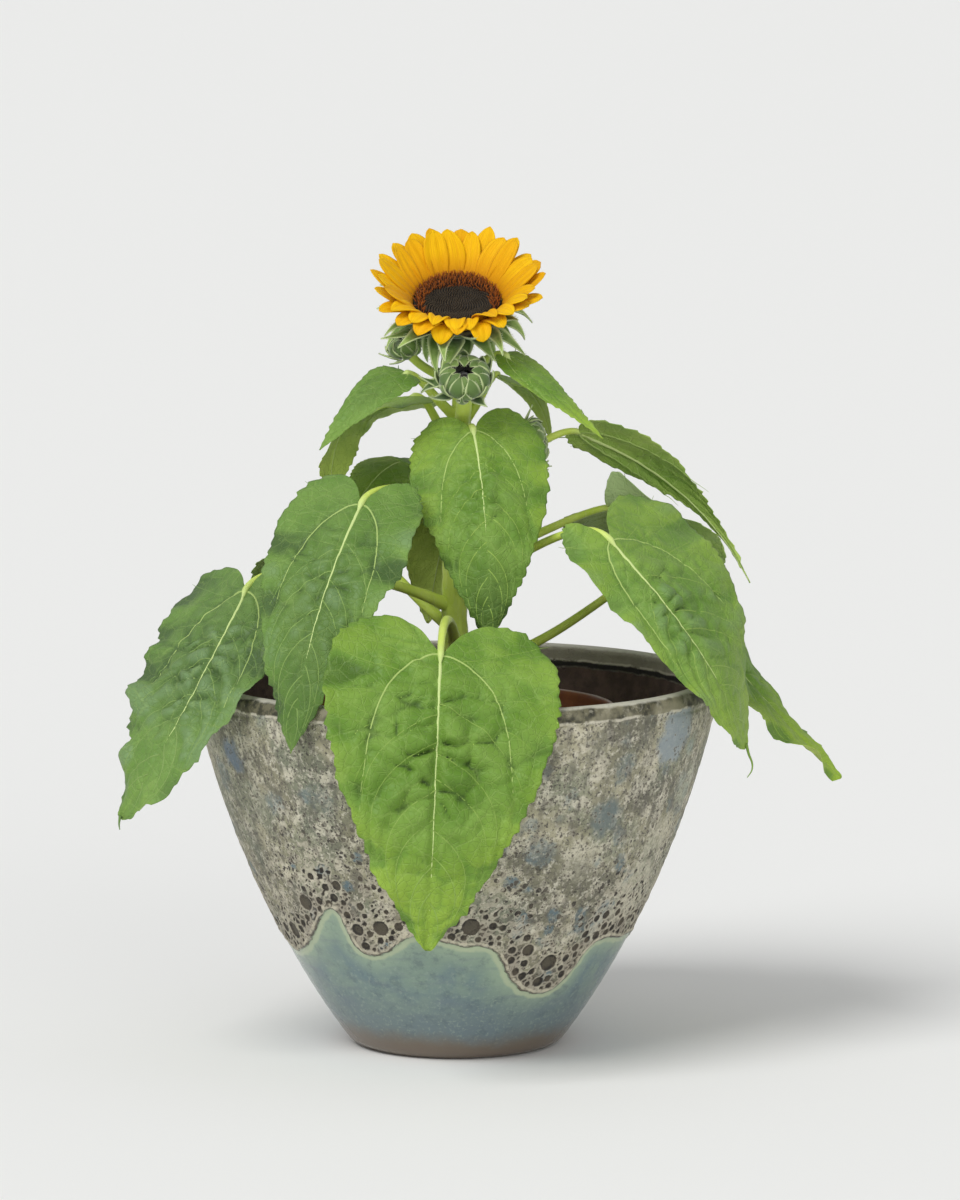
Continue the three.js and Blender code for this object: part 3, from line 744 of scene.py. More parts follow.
def reactive_glaze():
    """Stoneware with a boiled grey glaze over a glossy teal one, and bare dark clay inside."""
    made, tree, shader = finish_of("reactive_glaze_stoneware", 0.5, ior=1.52)
    place = add(tree, "TexCoord")["Object"]
    zones = add(tree, "Attribute", attribute_name="glaze_zone")["Vector"]
    over_edge, from_bubble, inside = add(tree, "SeparateXYZ", {0: zones})
    height = add(tree, "SeparateXYZ", {0: place})[2]
    over_edge, bubble = (share_of(tree, measure, 1 / MM) for measure in (over_edge, from_bubble))
    ragged = uneven(tree, place, -1.8, 6, 3.6, 4)
    above = add(tree, "Math", {0: over_edge, 1: ragged}, operation="ADD")[0]

    blue = blue_share(tree, place)
    craters = crust_pits(tree, place, above, blue)
    crust = cratered(tree, place, crust_tone(tree, place, above, blue), above, bubble, craters)
    in_crust = share_of(tree, (above, 0.3, 0.8))
    wavering = uneven(tree, place, height, 12, 0.003)
    lip_line = gap_to(tree, wavering, 0.2058), 0.0003, 0.0012, 0.75, 0.0
    band = share_of(tree, (uneven(tree, place, height, 14, 0.004), 0.2015, 0.2035))
    below_band = add(tree, "Math", {0: 1, 1: band}, operation="SUBTRACT")[0]
    bare = share_of(tree, inside, below_band)
    clay = coated(tree, "#43342b", ("#56443a", patches(tree, place, 9, 0.4, 0.65)))
    colour = coated(
        tree, teal_tone(tree, place, above, height),
        (crust, in_crust),
        (lip_tone(tree, place, wavering, inside), (wavering, 0.2055, 0.2065)),
        ("#d2ccb9", lip_line, patches(tree, place, 9, 0.45, 0.55)),
        (clay, bare),
        # painted shadow: a near-black band just under the lip's inner glaze, where the lip would shade the wall
        ("#1d1a14", inside, share_of(tree, band, (wavering, 0.2045, 0.206, 1, 0))),
    )

    shine = {0: share_of(tree, (in_crust, 0, 1, 0.2, 0.62)), 1: uneven(tree, place, -0.1, 4, 0.2)}
    shine = add(tree, "Math", shine, operation="ADD")[0]
    rough = {0: shine, 1: share_of(tree, bare, 0.85)}
    rough = add(tree, "Math", rough, operation="MAXIMUM")[0]
    small, small_lip, middle, middle_lip = craters
    lips = {0: share_of(tree, small_lip, 0.4), 1: share_of(tree, middle_lip, 0.5)}
    lips = add(tree, "Math", lips, operation="MAXIMUM")[0]
    holes = add(tree, "Math", {0: small, 1: middle}, operation="MAXIMUM")[0]
    craggy = add(tree, "Math", {0: lips, 1: holes}, operation="SUBTRACT")[0]
    grit = {"Vector": place, "Scale": 1 / (2.2 * MM), "Detail": 5, "Roughness": 0.7}
    grit = share_of(tree, add(tree, "TexNoise", grit)["Fac"], 0.9)
    bump = add(tree, "Math", {0: craggy, 1: grit}, operation="ADD")[0]
    dressed(tree, shader, colour, rough, share_of(tree, bump, in_crust), 0.0007)
    return made


glaze = reactive_glaze()
inside_flag = np.broadcast_to(~outside, above_edge.shape)
zone = np.stack([above_edge * MM, from_bubble * MM, inside_flag * 1.0], -1).reshape(-1, 3)
zone = np.concatenate([zone, [[-0.06, 0.03, 0], [-0.06, 0.03, 1]]])
planter_shape = turned(profile, PLANTER_SIDES, relief)
make_piece("planter_glazed", planter_shape, glaze, ["planter"], {"glaze_zone": zone})

# %% [markdown]
# The nursery pot is thin thermoformed polypropylene in a terracotta brown: one turned profile with shallow
# moulded rings and a turned-out rim band with a rolled edge. On its even colour, dust and scuffs are the coats.

# %% Nursery pot
POT_FOOT_Z = 14.3
POT_RIM_Z = 195
POT_FOOT_RADIUS = 56
POT_RIM_RADIUS = 91
POT_WALL = 2
POT_BAND_Z = 183
POT_SIDES = 160


def pot_radius(z):
    """The radius of the pot's outside at a height: a straight line from foot to rim."""
    return np.interp(z, [POT_FOOT_Z, POT_RIM_Z], [POT_FOOT_RADIUS, POT_RIM_RADIUS - POT_WALL])


def nursery_pot_profile():
    """Radius and height from the underside's middle, up outside, over the rolled rim and back inside."""
    wall = np.linspace(POT_FOOT_Z + 3, POT_BAND_Z - 1, 70)
    rings = 0.25 * np.sin(wall * 0.42) ** 6
    out_line = np.stack([pot_radius(wall) - 0.3 + rings, wall], 1)
    in_line = np.stack([pot_radius(wall) - POT_WALL + 0.2, wall], 1)[::-5]
    band = np.array([(-3.2, 0), (-1, 0.6), (-0.6, 6)]) + [POT_RIM_RADIUS, POT_BAND_Z]
    edge = [(-0.2, -2.5), (0.3, -1.4), (0, 0), (-1.4, -0.1), (-2.2, -1.6), (-2.4, -6)]
    edge = np.array(edge) + [POT_RIM_RADIUS, POT_RIM_Z]
    rim = np.concatenate([band, edge, [(POT_RIM_RADIUS - 3.4, POT_BAND_Z + 1)]])
    base = [(0, 0), (30, 0), (POT_FOOT_RADIUS - 2, 0), (POT_FOOT_RADIUS - 0.4, 0.8)]
    floor_line = np.array([(POT_FOOT_RADIUS - 3, POT_WALL), (25, POT_WALL), (0, POT_WALL)])
    up = [0, POT_FOOT_Z]
    return np.concatenate([np.array(base) + up, out_line, rounded(rim, 1), in_line, floor_line + up])


def moulded_plastic():
    """Thermoformed polypropylene: a soft low shine, a little dust and fine scuffs that run round the pot."""
    made, tree, shader = finish_of("moulded_polypropylene", 0.42, ior=1.49)
    place = add(tree, "TexCoord")["Object"]
    height = add(tree, "SeparateXYZ", {0: place})[2]
    dust = add(tree, "TexNoise", {"Vector": place, "Scale": 70, "Detail": 5})["Fac"]
    flat = add(tree, "Mapping", {"Vector": place, "Scale": (1, 1, 9)})[0]
    scuffs = add(tree, "TexNoise", {"Vector": flat, "Scale": 160, "Detail": 4})["Fac"]
    colour = coated(
        tree, "#7c4422",
        ("#8e522a", (dust, 0.4, 0.7)),
        ("#9a674c", (scuffs, 0.58, 0.75, 0, 0.5)),
        ("#a5948a", (height, 0.1940, 0.1948, 0, 0.7)),
    )
    dressed(tree, shader, colour, share_of(tree, (dust, 0.3, 0.7, 0.36, 0.58)), scuffs, 0.00008)
    return made


pot_shape = turned(nursery_pot_profile(), POT_SIDES)
make_piece("nursery_pot_moulded", pot_shape, moulded_plastic(), ["nursery_pot"])

# %% [markdown]
# The soil is peat: a lumpy surface with crumbs and a few white specks of perlite pressed into it. The lumps are
# three sizes of noise, and it is heaped a little round the stem. Crumbs and specks are dealt evenly over a
# disc, and for that the radius has to go with the square root of the draw.

# %% Soil
SOIL_TOP = 178
SOIL_FOOT = 16.6
SOIL_SINK = 2.2
SOIL_SIDES = 150
SOIL_RINGS = 60
CRUMBS = 1500
SPECKS = 70


def soil_lumps(x, y):
    """How far the soil's lumps lift its surface at a place: noises of 26, 9 and 4 mm."""
    return 1.5 * ripple(x, y, 26, 21) + 0.9 * ripple(x, y, 9, 22) + 0.5 * ripple(x, y, 4, 23)


def soil_mound(x, y):
    """How far the soil is heaped round the stem's foot: a bell 2.2 mm high and 22 mm wide."""
    return 2.2 * np.exp(-((np.hypot(x - 2, y - 6) / 22) ** 2))


def scattered(count, rng):
    """Places spread evenly over the soil, a little sunk in its surface."""
    radius = 82 * np.sqrt(rng.random(count))
    angle = rng.uniform(0, 2 * np.pi, count)
    x, y = radius * np.cos(angle), radius * np.sin(angle)
    return np.stack([x, y, SOIL_TOP - SOIL_SINK + soil_lumps(x, y) + soil_mound(x, y)], 1)


def lumps_on(centres, radii, seed):
    """Small crumbs: an octahedron for each centre, every corner pulled in or out by a dealt amount."""
    rng = np.random.default_rng(seed)
    corners = np.array([[1, 0, 0], [-1, 0, 0], [0, 1, 0], [0, -1, 0], [0, 0, 1], [0, 0, -1]], float)
    faces = [[0, 2, 4], [2, 1, 4], [1, 3, 4], [3, 0, 4], [2, 0, 5], [1, 2, 5], [3, 1, 5], [0, 3, 5]]
    stretch = rng.uniform(0.7, 1.25, (len(centres), 6, 1))
    spin = rng.uniform(0, 2 * np.pi, len(centres))
    turned_x = corners[:, 0] * np.cos(spin)[:, None] - corners[:, 1] * np.sin(spin)[:, None]
    turned_y = corners[:, 0] * np.sin(spin)[:, None] + corners[:, 1] * np.cos(spin)[:, None]
    shape = np.stack([turned_x, turned_y, np.broadcast_to(corners[:, 2] * 0.7, turned_x.shape)], -1)
    points = centres[:, None] + radii[:, None, None] * shape * stretch
    return points.reshape(-1, 3), [(np.arange(len(centres))[:, None, None] * 6 + faces).reshape(-1, 3)]


def peat():
    """Damp potting soil: matt dark brown with fibres and paler dry crumbs."""
    made, tree, shader = finish_of("damp_peat", 0.95)
    place = add(tree, "TexCoord")["Object"]
    fibres = {"Vector": place, "Scale": 420, "Detail": 6, "Roughness": 0.7}
    grain = add(tree, "TexNoise", fibres)["Fac"]
    patch = add(tree, "TexNoise", {"Vector": place, "Scale": 60, "Detail": 2})["Fac"]
    colour = coated(tree, "#1d1510", ("#4a3526", (grain, 0.38, 0.66)), ("#2b2018", (patch, 0.5, 0.7, 0, 0.5)))
    dressed(tree, shader, colour, None, grain, 0.0009)
    return made


def mineral_specks():
    """Perlite: a white volcanic glass that was blown up by heat, chalky and slightly pitted."""
    made, tree, shader = finish_of("perlite", 0.85)
    place = add(tree, "TexCoord")["Object"]
    grain = add(tree, "TexNoise", {"Vector": place, "Scale": 900, "Detail": 3})["Fac"]
    dressed(tree, shader, coated(tree, "#b9b1a2", ("#e6e1d6", (grain, 0.35, 0.65))), None, grain, 0.0003)
    return made


soil_side = [(0, SOIL_FOOT), (30, SOIL_FOOT), (pot_radius(SOIL_FOOT) - 3, SOIL_FOOT)]
soil_side = [*soil_side, (pot_radius(170) - 3, 172)]
soil_radii = np.linspace(pot_radius(175) - 3.4, 0, SOIL_RINGS)
soil_level = np.stack([soil_radii, np.full(SOIL_RINGS, SOIL_TOP - SOIL_SINK)], 1)
soil_points, soil_faces = turned(np.concatenate([soil_side, soil_level]), SOIL_SIDES)
x, y, z = soil_points.T
heave = soil_lumps(x, y) * smooth_step(86 - np.hypot(x, y), 0, 6) + soil_mound(x, y)
soil_points[:, 2] = np.where(z > SOIL_TOP - 3, z + heave, z)

rng = np.random.default_rng(31)
crumbs = lumps_on(scattered(CRUMBS, rng), 0.6 + 1.7 * rng.random(CRUMBS) ** 2.5, 32)
soil_shape = joined([(soil_points, soil_faces), crumbs])
make_piece("potting_soil_crumbs", soil_shape, peat(), ["potting_soil"])
specks = lumps_on(scattered(SPECKS, rng), 0.6 + 0.9 * rng.random(SPECKS), 33)
make_piece("perlite_specks", specks, mineral_specks())

# %% [markdown]
# The stem is a green column, ribbed along its length and covered in stiff white hairs. It swells a little
# where each leaf stalk leaves it. Its middle line is the solid's own, through the same named points.

# %% Stem
STEM_LINE = [(2, 6, 178.6), (2, 6, 196), (-1, 5, 250), (1, 8, 320), (3, 8, 372), (1, 3, 403), (1, -3.6, 413.4)]
STEM_FOOT_RADIUS = 7.5
STEM_TOP_RADIUS = 4.5
STEM_RIBS = 11
STEM_RINGS = 160

stem_path = through(STEM_LINE, STEM_RINGS)


def stem_at(height):
    """The stem's middle line at a height."""
    return np.array([np.interp(height, stem_path[:, 2], stem_path[:, k]) for k in (0, 1)] + [height])


print("the stem is", round(stem_path[-1, 2] - stem_path[0, 2]), "mm tall")

# %% [markdown]
# A leaf is a heart-shaped blade. Its midrib curves from the end of the stalk to the tip, and the blade is a fan
# of rows that leave the midrib and run to the margin, as in the solid. The place along the midrib and the share
# of the half width are the two leaf coordinates, and every vein is a short formula in them.

# %% Leaves as the solids have them
# A leaf's base, tip and midrib's bow in mm, the way that its face looks, the widths and folds of its halves,
# the height where its stalk leaves the stem and its rise there, its look, how drawn out its tail and how long
# its lobes are, and how far a lobe rolls in. top_right is narrower than its solid, as the photograph shows.
# A leaf's look: how yellow its green is (below 0 darker; the back leaf's 1.0 is partly painted light, for light
# that shines through it), how dull and grey, how strongly it puckers, how far its margin waves in mm, how far
# its lobe on one side curls up, and how much yellower it turns to its tip (below 0 darker: front_upper's -1.0
# is painted shade on a tip that bends away from the light).
Look = namedtuple("Look", "yellow dull pucker wave curl tip")
LEAF_FIELDS = "base tip bow face halves folds node rise look tail lobe roll seed"
Leaf = namedtuple("Leaf", LEAF_FIELDS, defaults=(0.1, 1, 0, 0))
LEAVES = {
    "front": Leaf((-8, -135, 243), (-15, -166, 82), (1, -17, 16), (0.1, -1, 0.2),
        (64, 68), (-2, -3), 224, 34, Look(0.25, 0.05, 1.55, 2.6, 0, 0.3)),
    # front_upper: its yellow is raised as painted light on its top, which the flower shades, and its tip of
    # -1.0 is painted shade.
    "front_upper": Leaf((10, -33, 357), (18, -84, 243), (3, -13, 5), (0, -1, 0.2),
        (42, 42), (-20, -22), 332, 10, Look(0.45, 0.15, 1.1, 2.4, 0, -1.0)),
    "left_front": Leaf((-53, -66, 319), (-92, -129, 187), (-5, -16, 6), (0.1, 0, 1),
        (46, 38), (-8, -10), 312, 10, Look(-0.1, 0.4, 0.8, 2.6, 0, -0.3)),
    "left": Leaf((-119, -45, 267), (-188, -92, 144), (0, -20, -2), (-0.5, -0.7, 0.5),
        (56, 40), (-10, -4), 250, 24, Look(-0.25, 0.5, 1.2, 6.5, 0, 0.5), tail=-0.1),
    "right_front": Leaf((87, -72, 299), (164, -61, 179), (14, -20, -4), (0.4, -0.7, 0.6),
        (28, 70), (-11, -14), 262, 16, Look(0.4, 0.3, 1.1, 3.4, 0, 0.2), tail=-0.1),
    "right": Leaf((129, 23, 269), (222, 9, 152), (-16, 1, 8), (0.4, -0.4, 0.8),
        (51, 42), (14, -14), 222, -16, Look(0.45, 0.0, 1.0, 5.5, 0, 0.4)),
    "right_upper": Leaf((71, 21, 350), (171, 65, 258), (10, 5, 8), (0.3, 0.65, 0.65),
        (27, 14), (-4, -14), 318, 10, Look(0.4, 0.2, 0.4, 1.4, 0, 0.2), tail=0.85, lobe=0.3),
    "top_right": Leaf((29, -22, 398), (83, -59, 355), (0, -5, 1), (0.3, -0.6, 0.75),
        (10, 15), (-10, -10), 382, 8, Look(0.4, 0.0, 0.25, 0.8, 0, 0.3), tail=0.35, lobe=0.4),
    "top_left": Leaf((-28, -20, 388), (-77, -44, 347), (5, -2, 11), (-0.3, -0.6, 0.7),
        (15, 15), (-1, -6), 358, 10, Look(0.0, 0.3, 0.5, 1.2, 0, 0.2), tail=0.25, lobe=0.3),
    "left_upper": Leaf((-24, 22, 371), (-72, 28, 314), (-14, 0, 14), (-0.1, 0.1, 1),
        (38, 32), (-14, -11), 338, 14, Look(0.6, 0.0, 0.4, 1.8, 0, 0.3)),
    "left_back": Leaf((-16, 34, 330), (-64, 92, 291), (0, 4, 15), (-0.4, 0.8, 0.4),
        (36, 30), (-10, -14), 305, 8, Look(0.3, 0.0, 0.4, 1.8, 0, 0.0)),
    # back: its yellow of 1.0 is painted light, which stands in for light that shines through this leaf from
    # behind.
    "back": Leaf((0, 48, 300), (-17, 94, 230), (0, 14, 12), (0, 0.9, 0.5),
        (30, 30), (-10, -10), 280, 8, Look(1.0, 0.0, 0.4, 1.6, 0, 0.2)),
    "right_bud": Leaf((24, 16, 384), (55, 36, 343), (5, 8, 7), (0.6, 0.4, 0.7),
        (18, 18), (-10, -6), 356, 10, Look(0.6, 0.0, 0.3, 1.0, 0, 0.2), lobe=0.5),
    "right_back": Leaf((92, 44, 304), (138, 124, 222), (8, 0, 16), (0.3, 0.6, 0.8),
        (50, 42), (-12, -10), 274, 8, Look(0.6, 0.5, 0.6, 2.4, 26, 0.2), roll=0.55),
    "left_hidden": Leaf((-66, 62, 286), (-112, 128, 190), (-8, 10, 16), (-0.3, 0.5, 0.8),
        (40, 40), (-12, -10), 238, 14, Look(0.0, 0.2, 0.6, 2.4, 0, 0.3)),
}
# Each leaf's waves, blisters and teeth are dealt from a seed of its own.
for count, (name, leaf) in enumerate(LEAVES.items()):
    LEAVES[name] = leaf._replace(seed=100 + 7 * count)
LOBE_SHARE = 0.42
LOBE = [(0, 0.03), (-0.21, 0.22), (-0.22, 1), (0.15, 1)]
FLANK = [(0.15, 1), (0.4, 1), (0.85, 0.5), (1, 0.02)]
PETIOLE_TIP_RADIUS = 2.2
STALK_HANDLE = 0.35
ARRIVAL_SHARE = 0.6
FULL_GROWN = 165
TOOTH_PITCH = 8.5
TOOTH_DEPTH = 2.9
BLADE_THICKNESS = 0.5

print(len(LEAVES), "leaves with looks of their own")

# %% [markdown]
# The blade's formula is the solid's. The margin is two cubic curves, a lobe and a flank, in shares of the
# length and of the half width. A place on the blade goes out from the midrib's curve, each half folded by its
# own angle, and the ends of the lobes lie behind the place where the stalk joins.

# %% Blade coordinates
def margin(leaf, s):
    """The half outline at shares s of the margin: a lobe curve, then a flank curve to the tip."""
    lobe, tail = leaf.lobe, leaf.tail
    sinus, swell, crown, widest = LOBE
    start, shoulder, waist, end = FLANK
    heart = cubic([sinus, (swell[0] * lobe, swell[1]), (crown[0] * lobe, crown[1]), widest], s / LOBE_SHARE)
    drawn = (waist[0] - 0.25 * tail, waist[1] - 0.6 * tail)
    flank = cubic([start, shoulder, drawn, end], (s - LOBE_SHARE) / (1 - LOBE_SHARE))
    return np.where((s < LOBE_SHARE)[..., None], heart, flank)


def midrib(leaf):
    """The midrib's length and a table of its parameter by share of that length."""
    a, c = np.array(leaf.base, float), np.array(leaf.tip, float)
    b = (a + c) / 2 + 2 * np.array(leaf.bow, float)
    t = np.linspace(0, 1, 201)[:, None]
    line = (1 - t) ** 2 * a + 2 * (1 - t) * t * b + t * t * c
    way = way_along(line)
    return (a, b, c), way / way[-1], t[:, 0], way[-1]


def on_blade(leaf, along, across, lift=0.0):
    """The point at a place of the blade: out from the midrib by the fold of its half, and up by lift."""
    (a, b, c), shares, ts, length = midrib(leaf)
    share = np.clip(along, 0, 1)
    t = np.interp(share, shares, ts)[..., None]
    rib = (1 - t) ** 2 * a + 2 * (1 - t) * t * b + t * t * c
    tangent = unit(2 * (1 - t) * (b - a) + 2 * t * (c - b))
    face = np.array(leaf.face, float)
    normal = unit(face - tangent * (tangent @ face)[..., None])
    sideways = np.cross(tangent, normal)
    first = across > 0
    across = across * (1 - leaf.roll * smooth_step(-along, -0.1, 0.1) * first)
    half = np.where(first, *leaf.halves)
    fold = np.radians(np.where(first, *leaf.folds))
    side = across * half
    rise = (np.sqrt(side**2 + 1) - 1) * np.sin(fold) + lift
    rib = rib + tangent * ((along - share) * length)[..., None]
    return rib + sideways * (side * np.cos(fold))[..., None] + normal * rise[..., None]


def breadth(leaf, along):
    """The half width of the blade, in leaf units, at a place along the midrib."""
    line = margin(leaf, np.linspace(LOBE_SHARE, 1, 60))
    return np.interp(along, line[:, 0], line[:, 1])


print("the front leaf is", round(midrib(LEAVES["front"])[3]), "mm long")

# %% [markdown]
# Three strong veins rise from the end of the stalk: the midrib, and a pair that arches out and then runs
# beside it. Weaker side veins leave the midrib and bend towards the tip, and others leave the arching pair
# outwards into the lobes. The blade bulges between them and dips along them. Beside the midrib it puckers
# into blisters, because the blade there grew faster than the veins that hold it.

# %% Veins and relief
ARCH_REACH = 0.66
ARCH_SPAN = 0.17
ARCH_END = 0.56
SIDE_VEINS = (0.2, 0.33, 0.45, 0.58, 0.7, 0.82)
SIDE_SPAN = 0.17
OUTER_VEINS = ((0.02, -0.12), (0.07, -0.06), (0.15, 0.0), (0.26, 0.08), (0.38, 0.1))


def arch_place(along):
    """How far out the arching pair lies: it starts square to the midrib and then turns to run beside it."""
    return ARCH_REACH * (1 - np.exp(-np.clip(along, 0, 1) / ARCH_SPAN)) ** 0.625


def pillows(x, y, pitch, seed):
    """Blisters, 0 in the creases between them and 1 on top: how much further the second nearest dealt place
    is than the nearest."""
    dealt = np.random.default_rng(seed).uniform(0.1, 0.9, (32, 32, 2))
    place = np.stack(np.broadcast_arrays(x / pitch, y / (1.35 * pitch)), -1)
    cell = np.floor(place).astype(int)
    gaps = []
    for shift in np.ndindex(3, 3):
        near = cell + np.array(shift) - 1
        gaps.append(np.linalg.norm(near + dealt[near[..., 0] % 32, near[..., 1] % 32] - place, axis=-1))
    gaps = np.sort(np.stack(gaps), axis=0)
    return np.clip((gaps[1] - gaps[0]) / 0.75, 0, 1) ** 0.8


def relief_of(leaf, along, across):
    """How far the blade stands off its fold, in mm: dips at veins, panels, blisters and a wavy margin."""
    length = midrib(leaf)[3]
    size = length / FULL_GROWN
    half = np.where(across > 0, *leaf.halves)
    x, y, out = along * length, across * half, np.abs(across)
    reach = np.maximum(breadth(leaf, along), 0.05)
    share = np.clip(out / reach, 0, 1)
    dip = -1.1 * size * np.exp(-((y / (2.6 * size)) ** 2))
    from_arch = (out - arch_place(along)) * half
    arch_fade = smooth_step(along, -0.02, 0.04) * (1 - smooth_step(along, 0.45, 0.6))
    dip = dip - 1.0 * size * arch_fade * np.exp(-((from_arch / (2.2 * size)) ** 2))
    origin = along + SIDE_SPAN * np.log(1 - np.minimum(share * 0.97, 0.95))
    between = np.interp(origin, SIDE_VEINS, range(len(SIDE_VEINS)))
    panels = (0.5 + leaf.look.pucker) * size * np.sin(np.pi * between) ** 2
    panels = panels * smooth_step(origin, 0.1, 0.25) * (1 - 0.8 * smooth_step(along, 0.55, 0.85))
    panels = panels * np.sin(np.pi * np.clip(share, 0.02, 1)) ** 0.7
    beside = np.exp(-(((along - 0.36) / 0.24) ** 2)) * np.exp(-((share / 0.6) ** 2))
    beside = beside * (1 - np.exp(-((y / 3) ** 2)))
    drift = 5 * size * ripple(x, y, 30 * size, leaf.seed + 5)
    plump = pillows(x + drift, y - drift, 12.5 * size, leaf.seed + 1) - 0.4
    vigour = 0.6 + 0.6 * ripple(x, y, 26 * size, leaf.seed + 6)
    slant = 0.6 * np.abs(y) * smooth_step(along, 0.38, 0.6)
    rung = (x - slant) / (12.5 * size) + 0.5 * (across > 0) + 0.3 * ripple(x, y, 24 * size, leaf.seed + 7)
    at_rib = np.exp(-(((along - 0.35) / 0.2) ** 2)) * np.exp(-((y / (15 * size)) ** 2))
    at_rib = at_rib * (1 - np.exp(-((y / 2.5) ** 2)))
    rungs = at_rib * (np.abs(np.sin(np.pi * rung)) ** 0.7 - 0.5)
    blisters = leaf.look.pucker * size * (4.2 * beside * vigour * plump + 5.2 * rungs + 0.8 * plump)
    edge = smooth_step(share, 0.4, 1.0)
    wave = leaf.look.wave * size * edge * ripple(x, np.sign(across) * 90, 36 * size, leaf.seed + 3)
    curl = smooth_step(-along, -0.06, 0.16) * smooth_step(np.sign(leaf.look.curl) * across, 0.1, 0.9)
    curl = abs(leaf.look.curl) * curl
    return dip + panels + blisters + wave + curl


def vein_places(leaf):
    """Every vein of a leaf: its places along and across, its radius at both ends, and its paleness."""
    share = np.linspace(0, 1, 44)
    veins = []
    for side in (-1, 1):
        along = ARCH_END * share**1.5
        veins.append((along, side * arch_place(along), 0.85, 0.3, 0.9))
        for k, start in enumerate(SIDE_VEINS):
            begin = start + 0.018 * side * (-1) ** k
            run = begin + share * min(0.34, 0.97 - begin)
            out = 0.93 * breadth(leaf, run) * (1 - np.exp(-(run - begin) / SIDE_SPAN)) * 1.06
            inner = min(1.0, 0.6 + start)
            veins.append((run, side * np.minimum(out, 0.95 * breadth(leaf, run)), 0.5 * inner, 0.26, 0.3))
        for begin, drift in OUTER_VEINS:
            root = arch_place(np.array(begin))
            out = root + (0.9 * min(1.0, float(breadth(leaf, begin + drift))) - root) * share
            veins.append((begin + drift * share**1.3, side * out, 0.4, 0.26, 0.15))
    return veins


def vein_limbs(leaf):
    """The veins other than the midrib, as thin limbs that lie in the blade and stand out of it a little."""
    size = midrib(leaf)[3] / FULL_GROWN
    limbs, paleness = [], []
    for along, out, thick, thin, pale in vein_places(leaf):
        line = on_blade(leaf, along, out, relief_of(leaf, along, out))
        radii = np.maximum(np.linspace(thick, thin, len(along)) * size**0.7, 0.25)
        radii[-8:] *= np.linspace(1, 0.3, 8)
        across = np.cross(unit(np.gradient(line, axis=0)), np.array(leaf.face, float))
        limbs.append(tube(line, across, radii, 6))
        paleness.append(np.full(len(limbs[-1][0]), pale))
    return joined(limbs), np.concatenate(paleness)


def leaf_sheet(leaf):
    """The grid of a blade, from the midrib to a toothed margin, and its leaf coordinates in mm."""
    length = midrib(leaf)[3]
    size = length / FULL_GROWN
    wide = max(leaf.halves)
    rows = int(np.clip(length / 1.25, 60, 132))
    columns = 2 * int(np.clip(wide / 1.5, 12, 44)) + 1
    s = np.linspace(0, 1, rows)
    t = np.linspace(-1, 1, columns)
    edge = margin(leaf, s)
    in_mm = edge * [length, wide]
    heading = unit(np.gradient(in_mm, axis=0))
    way = way_along(in_mm)
    rng = np.random.default_rng(leaf.seed)
    out = np.zeros((rows, columns, 2))
    for side, mask in ((1, t > 0), (-1, t <= 0)):
        pitch = TOOTH_PITCH * size**0.5
        run = way / pitch + rng.random() + 0.35 * np.sin(way / 17 + 6 * rng.random())
        tooth = np.where(run % 1 < 0.72, (run % 1) / 0.72, (1 - run % 1) / 0.28) - 0.55
        depth = TOOTH_DEPTH * size**0.7 * (0.7 + 0.3 * np.sin(way / 11 + 6 * rng.random()))
        lobing = 0.45 * leaf.look.wave * size * ripple(way, 0 * way + 40 * side, 25 * size, leaf.seed + 9)
        stand = (tooth * depth + lobing) * smooth_step(s, 0.1, 0.26) * (1 - smooth_step(s, 0.9, 1.0))
        push = np.stack([-heading[:, 1], heading[:, 0]], 1) * stand[:, None] / [length, wide]
        out[:, mask] = (np.abs(t[mask]) ** 5)[None, :, None] * push[:, None]
    on_rib = (s**1.7)[:, None]
    along = on_rib + (edge[:, :1] - on_rib) * np.abs(t) + out[..., 0]
    across = t * edge[:, 1:] + np.sign(t) * out[..., 1]
    sheet = on_blade(leaf, along, across, relief_of(leaf, along, across))
    half = np.where(across > 0, *leaf.halves)
    return sheet, along * length, across * half, np.abs(t)[None, :] * np.ones((rows, 1))


print("each leaf has", 2 * (1 + len(SIDE_VEINS) + len(OUTER_VEINS)) + 1, "veins")
